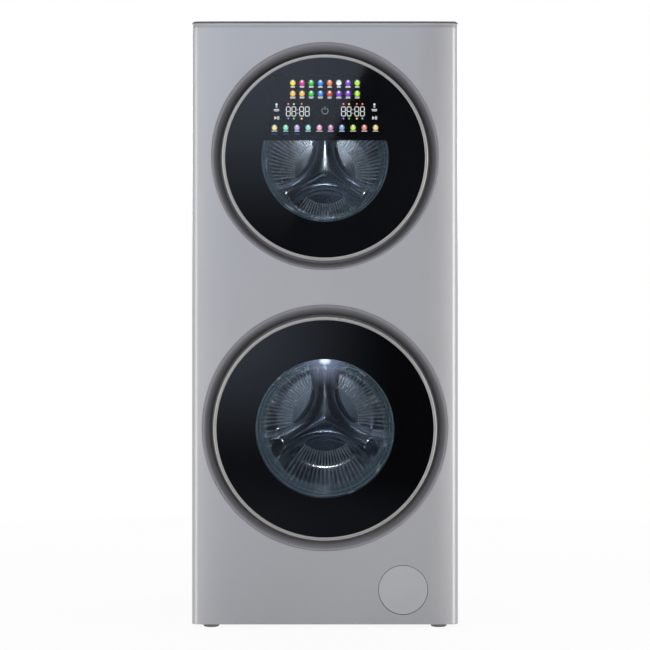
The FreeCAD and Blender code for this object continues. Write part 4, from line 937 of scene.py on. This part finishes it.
def star_height(x, z, scale):
    """Height of the drum's pressed rear wall above its floor: a three-armed dome between three round hollows."""
    away, radius = 162.0 * scale, 112.0 * scale
    total = np.zeros_like(x)
    for angle in LOBES:
        a = math.radians(angle)
        gap = np.hypot(x - away * math.cos(a), z - away * math.sin(a)) - radius
        total += np.exp(-gap / (9.0 * scale))
    s = -9.0 * scale * np.log(total)
    t = np.clip((s + 2 * scale) / (30.0 * scale), 0, 1)
    flank = 1 - (1 - t) ** 2.2
    crown = np.clip((s - 14.0 * scale) / (40.0 * scale), 0, 1)
    return scale * (32.0 * flank + 7.0 * crown * crown * (3 - 2 * crown))


def pressing(u):
    """Radius, scale and rear plane of the drum's pressings, in millimetres."""
    return u["drum"] / MM - INSIDE, u["window"] / MM / LARGE_WINDOW, (u["drum_back"] - FRONT) / MM - 1.4


def drum_back(u):
    """The pressed rear wall: star, hollows and the dished, perforated band round them."""
    radius, scale, back = pressing(u)
    rings = np.concatenate([[0.6], np.arange(3.0, radius - 8, 3.0), [radius - 5.0, radius - 2.0, radius - 0.4]])
    sides = 288
    angles = np.linspace(0, 2 * PI, sides, endpoint=False)
    rr, aa = np.meshgrid(rings, angles, indexing="ij")
    x, z = rr * np.cos(aa), rr * np.sin(aa)
    y = back - (star_height(x, z, scale) + dish_height(rr, radius, scale))
    vertices = np.stack([x * MM, FRONT + y * MM, u["z"] + z * MM], -1).reshape(-1, 3)
    faces = grid(len(rings), sides, False) + [tuple(range(sides))]
    obj = piece(f"{u['name']}_drum_back", vertices, faces, M["drum"], "stainless", None)
    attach(obj, f"{u['name']}_drum")


def dish_height(r, radius, scale):
    """How far the perforated band slopes forward from the rear wall."""
    t = np.clip((r - 118.0 * scale) / (radius - 118.0 * scale), 0, 1)
    return 96.0 * scale * t ** 1.25


def hole_patch(points, normals, radius):
    """Small dimples: a raised flare whose lighter material is a painted glint, round a dark bottom that is painted
    shade where the hole would open, at each point. Returns both vertex and face lists.
    """
    flare, pit = ([], []), ([], [])
    sides = 8
    rim = grid(3, sides, False)
    for p, n in zip(points, normals):
        n = Vector(n).normalized()
        side = n.cross(Vector((0.13, 0.97, 0.21))).normalized()
        other = n.cross(side)
        loops = [[tuple(Vector(p) + (side * c + other * s) * radius * r + n * h * radius) for c, s in around(sides)]
                 for r, h in ((1.45, 0.05), (1.15, 0.55), (0.85, 0.1))]
        base = len(flare[0])
        flare[0].extend(sum(loops, []))
        flare[1].extend(tuple(base + i for i in face) for face in rim)
        base = len(pit[0])
        pit[0].extend(loops[2])
        pit[1].append(tuple(base + i for i in range(sides)))
    return flare, pit


def hole_pieces(u, label, points, normals, radius):
    """The rims, whose lighter material is a painted glint, and the dark bottoms, which are painted shade, of one set of
    holes.
    """
    flare, pit = hole_patch(points, normals, radius)
    for part, lists, material in (("hole_rims", flare, M["flare"]), ("holes", pit, M["hole"])):
        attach(piece(f"{u['name']}_{label}_{part}", *lists, material, "stainless", None), f"{u['name']}_drum")


def drum_holes(u):
    """The drain holes between the arms, on the rear band and along the wall."""
    radius, scale, back = pressing(u)
    points, normals = [], []

    def forward(x, z):
        x, z = np.array([x]), np.array([z])
        return float((star_height(x, z, scale) + dish_height(np.hypot(x, z), radius, scale))[0])

    for lobe in LOBES:
        for row in range(21):
            r = (84.0 + 5.2 * row) * scale
            for k in range(-9, 10):
                a = math.radians(lobe + 4.1 * k)
                x, z = r * math.cos(a), r * math.sin(a)
                if float(star_height(np.array([x]), np.array([z]), scale)[0]) > 1.5 * scale or r > radius - 12:
                    continue
                h = forward(x, z)
                slope_x, slope_z = forward(x + 1, z) - h, forward(x, z + 1) - h
                points.append((x * MM, FRONT + (back - h) * MM, u["z"] + z * MM))
                normals.append((-slope_x, -1.0, -slope_z))
    hole_pieces(u, "back", points, normals, 1.5 * scale * MM)

    points, normals = [], []
    front = (u["drum_front"] - FRONT) / MM
    for lobe in LOBES:
        for k in range(-9, 10):
            a = math.radians(lobe + 4.6 * k)
            for row in range(18):
                y = front + 26 + 14.0 * row + (7.0 if k % 2 else 0.0)
                if y > back - 110 * scale:
                    continue
                points.append((radius * math.cos(a) * MM, FRONT + y * MM, u["z"] + radius * math.sin(a) * MM))
                normals.append((-math.cos(a), 0, -math.sin(a)))
    hole_pieces(u, "wall", points, normals, 1.6 * MM)


def drum_shell(u):
    """The drum's front and wall, with a rolled mouth and two pressed beads."""
    r = u["drum"] / MM
    front = (u["drum_front"] - FRONT) / MM
    back = (u["drum_back"] - FRONT) / MM
    mouth = u["window"] / MM + 18
    outer = arc(mouth + 2.0, front + 2.0, 2.0, 90, 270, 8) + [(r - 12.0, front)]
    outer += arc(r - 11.0, front + 11.0, 11.0, 270, 360, 8)
    outer += [(r, back - 11)] + arc(r - 11, back - 11, 11.0, 0, 90, 6) + [(0.5, back)]
    inner = [(0.5, back - 1.0), (r - 12, back - 1.2)] + arc(r - 11.2, back - 12.2, 10.0, 90, 0, 6)
    wall = r - INSIDE
    inner += [(wall, back - 24), (r - 2.6, back - 27), (wall, back - 30), (wall, front + 24), (r - 2.6, front + 21),
              (wall, front + 18), (wall, front + 12.2)] + arc(r - 11.2, front + 11.2, 10.0, 0, -90, 6)
    obj = piece(f"{u['name']}_drum_shell", *lathe(outer + inner, u["z"], 240, y0=FRONT), M["drum"], "stainless", 50)
    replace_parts(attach(obj, f"{u['name']}_drum"), f"{u['name']}_drum")


def drum_group(u):
    """One tub with its drum."""
    name = u["name"]
    for part in ("tub_front", "tub_rear"):
        dress(f"{name}_{part}", M["tub"], 0.8)
    dress(f"{name}_counterweights", M["concrete"], 2.0, 3)
    dress(f"{name}_bearings", M["steel"], 0.5)
    dress(f"{name}_stator", M["lamination"], 0.4)
    dress(f"{name}_rotor", M["lamination"], 0.5)
    dress(f"{name}_spider", M["cast"], 1.5, 3)
    dress(f"{name}_lifters", M["lifter"], 1.2, 3)
    drum_shell(u)
    drum_back(u)
    drum_holes(u)


def helix(x, y, z0, z1, radius, wire, turns):
    """A coil spring about a vertical line, with straight hooks at both ends."""
    steps, lead = turns * 20, 9 * MM
    path = [Vector((x, y, z0)), Vector((x, y, z0 + lead * 0.6))]
    for i in range(steps + 1):
        a = 2 * PI * i / 20
        z = z0 + lead + (z1 - z0 - 2 * lead) * i / steps
        path.append(Vector((x + radius * math.cos(a), y + radius * math.sin(a), z)))
    path += [Vector((x, y, z1 - lead * 0.6)), Vector((x, y, z1))]
    return tube(path, wire, 8)


def suspension(u, hang, stand):
    """Coil springs above the tub and friction dampers below it."""
    name = u["name"]
    tub = f"{name}_tub"
    low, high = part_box(f"{name}_suspension")
    spring_y, damper_y = low.y + 11 * MM, high.y - 13 * MM
    spring_x = {"upper": 172.0, "lower": 180.0}[name] * MM
    damper_x = {"upper": 170.0, "lower": 150.0}[name] * MM
    outer = half(f"{name}_tub_front").x - 8 * MM
    ear = u["z"] + math.sqrt(outer ** 2 - spring_x ** 2) + 8 * MM
    lug = u["z"] - math.sqrt(outer ** 2 - damper_x ** 2) - 8 * MM
    for side, label in ((-1, "left"), (1, "right")):
        turns = max(6, int((hang - ear) / (5.5 * MM)))
        coil = helix(side * spring_x, spring_y, ear, hang, 8.6 * MM, 1.5 * MM, turns)
        obj = piece(f"{name}_spring_{label}", *coil, M["spring"], "spring_steel", None)
        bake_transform(obj)
        if side < 0:
            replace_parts(obj, f"{name}_suspension")
        x = side * damper_x
        can = [(12.0, 0.0), (13.0, 1.0), (13.0, 66.0), (12.0, 68.0), (12.0, 73.0), (11.0, 74.0), (5.6, 74.0)]
        can = [(r * MM, stand + up * MM) for r, up in can]
        obj = piece(f"{name}_damper_can_{label}", *lathe_z(can, x, damper_y), M["black"], "spring_steel")
        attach(obj, "cabinet")
        shaft = [(5.0 * MM, stand + 22 * MM), (5.0 * MM, lug - 8 * MM), (8.0 * MM, lug - 7 * MM), (8.0 * MM, lug)]
        obj = piece(f"{name}_damper_rod_{label}", *lathe_z(shaft, x, damper_y), M["steel"], "spring_steel")
        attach(obj, tub)


# ---- lamps, dryer, filter, feet and rear

def lamps():
    """Each drum lamp: its case, and the lit lens that looks into the drum."""
    for u in UNITS.values():
        low = u["z"] + u["window"]
        case = piece(f"{u['name']}_lamp_case", *bevelled_box(-12 * MM, 12 * MM, FRONT + 42.6 * MM, FRONT + 50 * MM,
                                                              low + 31 * MM, low + 44 * MM, 1 * MM),
                     M["black"], "lamp_lens")
        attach(fix_normals(case), "cabinet")
        if u["name"] == "upper":
            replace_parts(case, "drum_lamps")
        lens = piece(f"{u['name']}_lamp_lens", *bevelled_box(-8 * MM, 8 * MM, FRONT + 43.4 * MM, FRONT + 49.2 * MM,
                                                              low + 22 * MM, low + 31 * MM, 1 * MM),
                     M["lens"], "lamp_lens")
        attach(fix_normals(lens), "cabinet")


def dryer():
    """The drying duct and its fan, as they are."""
    dress("dryer_duct", M["duct"], 0.8)
    dress("dryer_fan", M["tub"], 0.3)


def filter_cover():
    """The round cover, gently crowned, with a rolled edge and its three legs."""
    low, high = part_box("filter_cover")
    c = centre("filter_cover")
    r = (high.x - low.x) / 2 / MM
    profile = [(0.5, 0.0), (r * 0.5, 0.0), (r * 0.9, 0.05), (r - 1.6, 0.12)] + arc(r - 1.2, 1.3, 1.2, 270, 360, 5)
    profile += [(r, 2.0), (r - 1.5, 2.4), (0.5, 2.4)]
    parts = [lathe(profile, c.z, 96, y0=low.y, x0=c.x)]
    for angle in ARMS:
        leg = bevelled_box(c.x + (r - 6) * MM, c.x + (r - 4) * MM, low.y + 2 * MM, high.y,
                           c.z - 6 * MM, c.z + 6 * MM, 0.4 * MM)
        turn = Matrix.Translation(c) @ Matrix.Rotation(-math.radians(angle), 4, "Y") @ Matrix.Translation(-c)
        parts.append(([tuple(turn @ Vector(v)) for v in leg[0]], leg[1]))
    obj = fix_normals(piece("filter_lid", *merge(parts), M["cover_silver"], "silver_paint"))
    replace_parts(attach(obj, "filter_cover"), "filter_cover")


def feet():
    """Levelling feet: a soft-edged pad and the threaded stud."""
    for node in ("foot_front_left", "foot_front_right", "foot_rear_left", "foot_rear_right"):
        low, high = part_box(node)
        c = centre(node)
        pad = BOTTOM - 0.2 * MM
        r = (high.x - low.x) / 2
        profile = [(r - 5.5 * MM, 0.0), (r - 3.6 * MM, 0.4 * MM), (r - 1.6 * MM, 2.2 * MM), (r - 0.5 * MM, 4.6 * MM),
                   (r, pad - 0.9 * MM), (r - 0.5 * MM, pad), (5.2 * MM, pad), (5.0 * MM, pad + 0.2 * MM)]
        z = pad + 0.2 * MM
        while z < high.z - 2 * MM:
            profile += [(5.0 * MM, z + 0.5 * MM), (4.5 * MM, z + 1.0 * MM)]
            z += 1.0 * MM
        profile += [(4.6 * MM, high.z - 0.6 * MM), (4.0 * MM, high.z)]
        obj = piece(f"{node}_pad", *lathe_z(profile, c.x, c.y, 64), M["foot"], "foot_plastic", 40)
        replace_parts(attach(fix_normals(obj), node), node)


def rear_details():
    """Pressed ribs, vents and screws on the rear sheet."""
    low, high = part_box("rear_panel")
    parts = []
    for x in (-90 * MM, 90 * MM):
        for z0, z1 in ((0.16, 0.68), (0.76, 1.16)):
            parts.append(bevelled_box(x - 6 * MM, x + 6 * MM, REAR, REAR + 2.2 * MM, z0, z1, 1.9 * MM))
    for row in range(9):
        z = 1.215 + row * 0.0095
        parts.append(bevelled_box(0.02, 0.20, REAR, REAR + 2.0 * MM, z, z + 4.2 * MM, 1.6 * MM))
    obj = fix_normals(piece("rear_ribs", *merge(parts), M["zinc"], "galvanised_steel"))
    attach(obj, "cabinet")
    places = []
    for i in range(6):
        z = low.z + 30 * MM + (high.z - low.z - 60 * MM) * i / 5
        places += [(low.x + 8 * MM, z), (high.x - 8 * MM, z)]
    screws("rear_screws", places, REAR, 3.8, "cabinet")


# ---- stage, lights and camera

def stage():
    """A white floor that fades into the white world."""
    size, sides = 9.0, 64
    vertices = [(0, 0, 0)] + [(size * c, size * s, 0) for c, s in around(sides)]
    faces = [(0, 1 + i, 1 + (i + 1) % sides) for i in range(sides)]
    mesh = bpy.data.meshes.new("studio_floor")
    mesh.from_pydata(vertices, [], faces)
    floor = bpy.data.objects.new("studio_floor", mesh)
    floor.location.z = -0.0002
    bpy.context.scene.collection.objects.link(floor)
    mat, tree, out = new_material("floor_white")
    fade = length(tree, coords(tree)).fit(0.7, 2.6, 0.0, 1.0, smooth=True)
    seen = add_node(tree, "LightPath").outputs["Is Camera Ray"]
    paint = shader(tree, "BsdfDiffuse", Color=(0.88, 0.88, 0.88, 1))
    white = shader(tree, "Emission", Color=(1, 1, 1, 1))
    join(tree, mix(tree, fade.do("MAXIMUM", 0.92) * seen, paint, white), out)
    mesh.materials.append(mat)
    floor.visible_glossy = False


def softbox(name, location, target, wide, tall, watts, mirrored=True, colour=(1, 1, 1)):
    """A rectangular light aimed at a point. One that isn't mirrored doesn't show in glossy surfaces."""
    data = bpy.data.lights.new(name, "AREA")
    data.shape = "RECTANGLE"
    data.size, data.size_y = wide, tall
    data.energy, data.color = watts, colour
    lamp = bpy.data.objects.new(name, data)
    lamp.visible_glossy = mirrored
    lamp.location = location
    lamp.rotation_euler = (Vector(target) - Vector(location)).to_track_quat("-Z", "Y").to_euler()
    bpy.context.scene.collection.objects.link(lamp)


def dark_card():
    """A dark studio card behind the camera, with soft pale fields, so that black glass has something to mirror."""
    y = FRONT - 4.6
    mesh = bpy.data.meshes.new("dark_card")
    mesh.from_pydata([(-3, y, -4), (3, y, -4), (3, y, 5), (-3, y, 5)], [], [(0, 1, 2, 3)])
    card = bpy.data.objects.new("dark_card", mesh)
    bpy.context.scene.collection.objects.link(card)
    card.visible_camera = card.visible_diffuse = card.visible_shadow = False
    mat, tree, out = new_material("dark_card")
    across, _, height = split(tree, coords(tree))
    edge = (across + height * -0.466).fit(-0.69, -0.675, 1.0, 0.0)
    rise = height.fit(1.0, 1.85, 0.0, 1.0, smooth=True)
    high = edge * rise * (across.fit(-0.10, 0.25, 1.0, 0.8) * 1.55) + 0.11
    rise = height.fit(0.05, 0.62, 0.10, 1.0, smooth=True)
    low = rise * across.fit(-0.45, 0.34, 1.0, 0.0, smooth=True) * 1.25
    low = low + height.fit(0.0, -0.22, 0.02, 0.16, smooth=True)
    above = height.do("GREATER_THAN", 0.84)
    level = add_node(tree, "Mix", {"Factor": above, "A": low, "B": high}).outputs["Result"]
    join(tree, shader(tree, "Emission", Color=(0.66, 0.78, 1.0, 1), Strength=level), out)
    mesh.materials.append(mat)


def lights():
    """Studio lights, the light in each drum, and a world that shows whiter than it lights."""
    softbox("key", (-0.2, -4.2, 1.5), (0, -0.2, 0.65), 3.0, 1.6, 20, False)
    softbox("left", (-2.5, -1.6, 0.7), (-0.1, -0.2, 0.68), 1.4, 2.6, 26)
    softbox("right", (2.5, -1.6, 0.7), (0.1, -0.2, 0.68), 1.4, 2.6, 42)
    softbox("low_fill", (0, -3.2, 0.15), (0, -0.2, 0.2), 2.6, 0.4, 30, False)
    softbox("back_left", (-1.8, 2.4, 1.8), (0, 0.2, 0.7), 1.6, 1.6, 24)
    softbox("back_right", (1.8, 2.4, 1.8), (0, 0.2, 0.7), 1.6, 1.6, 24)
    softbox("top", (0, 0.3, 3.2), (0, 0, 1.3), 1.6, 1.6, 16)
    for u in UNITS.values():
        rim = u["z"] + u["window"]
        softbox(f"{u['name']}_drum_light", (0, FRONT + 122 * MM, rim + 8 * MM), (0, u["drum_back"], u["z"] - 0.03),
                60 * MM, 10 * MM, 0.30, colour=(0.93, 0.97, 1.0))
        spill = bpy.data.lights.new(f"{u['name']}_lamp_spill", "POINT")
        spill.shadow_soft_size = 9 * MM
        spill.energy = 0.8
        spill.color = (0.90, 0.93, 1.0)
        lamp = bpy.data.objects.new(spill.name, spill)
        lamp.location = (0, FRONT + 46 * MM, rim + 17 * MM)
        bpy.context.scene.collection.objects.link(lamp)
    world = bpy.data.worlds.new("studio")
    bpy.context.scene.world = world
    world.use_nodes = True
    tree = world.node_tree
    tree.nodes.clear()
    path = add_node(tree, "LightPath")
    shown = Num(tree, path.outputs["Is Camera Ray"]).do("MAXIMUM", path.outputs["Is Glossy Ray"])
    shown = shown.do("MAXIMUM", path.outputs["Is Transmission Ray"])
    soft = shader(tree, "Background", Color=(0.98, 0.99, 1.0, 1), Strength=0.42)
    white = shader(tree, "Background", Color=(1, 1, 1, 1), Strength=1.0)
    add_node(tree, "OutputWorld", {"Surface": mix(tree, shown, soft, white)})


def camera():
    """Square on to the front, from far enough that it looks nearly flat."""
    distance, view = 4.5, 1.4594
    data = bpy.data.cameras.new("camera")
    data.sensor_width = 36.0
    data.lens = 36.0 * distance / view
    cam = bpy.data.objects.new("camera", data)
    cam.location = (0, FRONT - distance, TOP / 2 - 1.2 * MM)
    cam.rotation_euler = (PI / 2, 0, 0)
    bpy.context.scene.collection.objects.link(cam)
    bpy.context.scene.camera = cam
    bpy.context.scene.view_settings.view_transform = "Standard"


cabinet()
for each in UNITS.values():
    bezel(each)
    gasket(each)
    door(each)
    drum_group(each)
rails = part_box("cross_rails")
suspension(UNITS["upper"], rails[1].z - 25 * MM, rails[0].z + 40 * MM)
suspension(UNITS["lower"], rails[0].z, BOTTOM + 2.5 * MM)
display()
lamps()
dryer()
filter_cover()
feet()
rear_details()
stage()
dark_card()
lights()
camera()
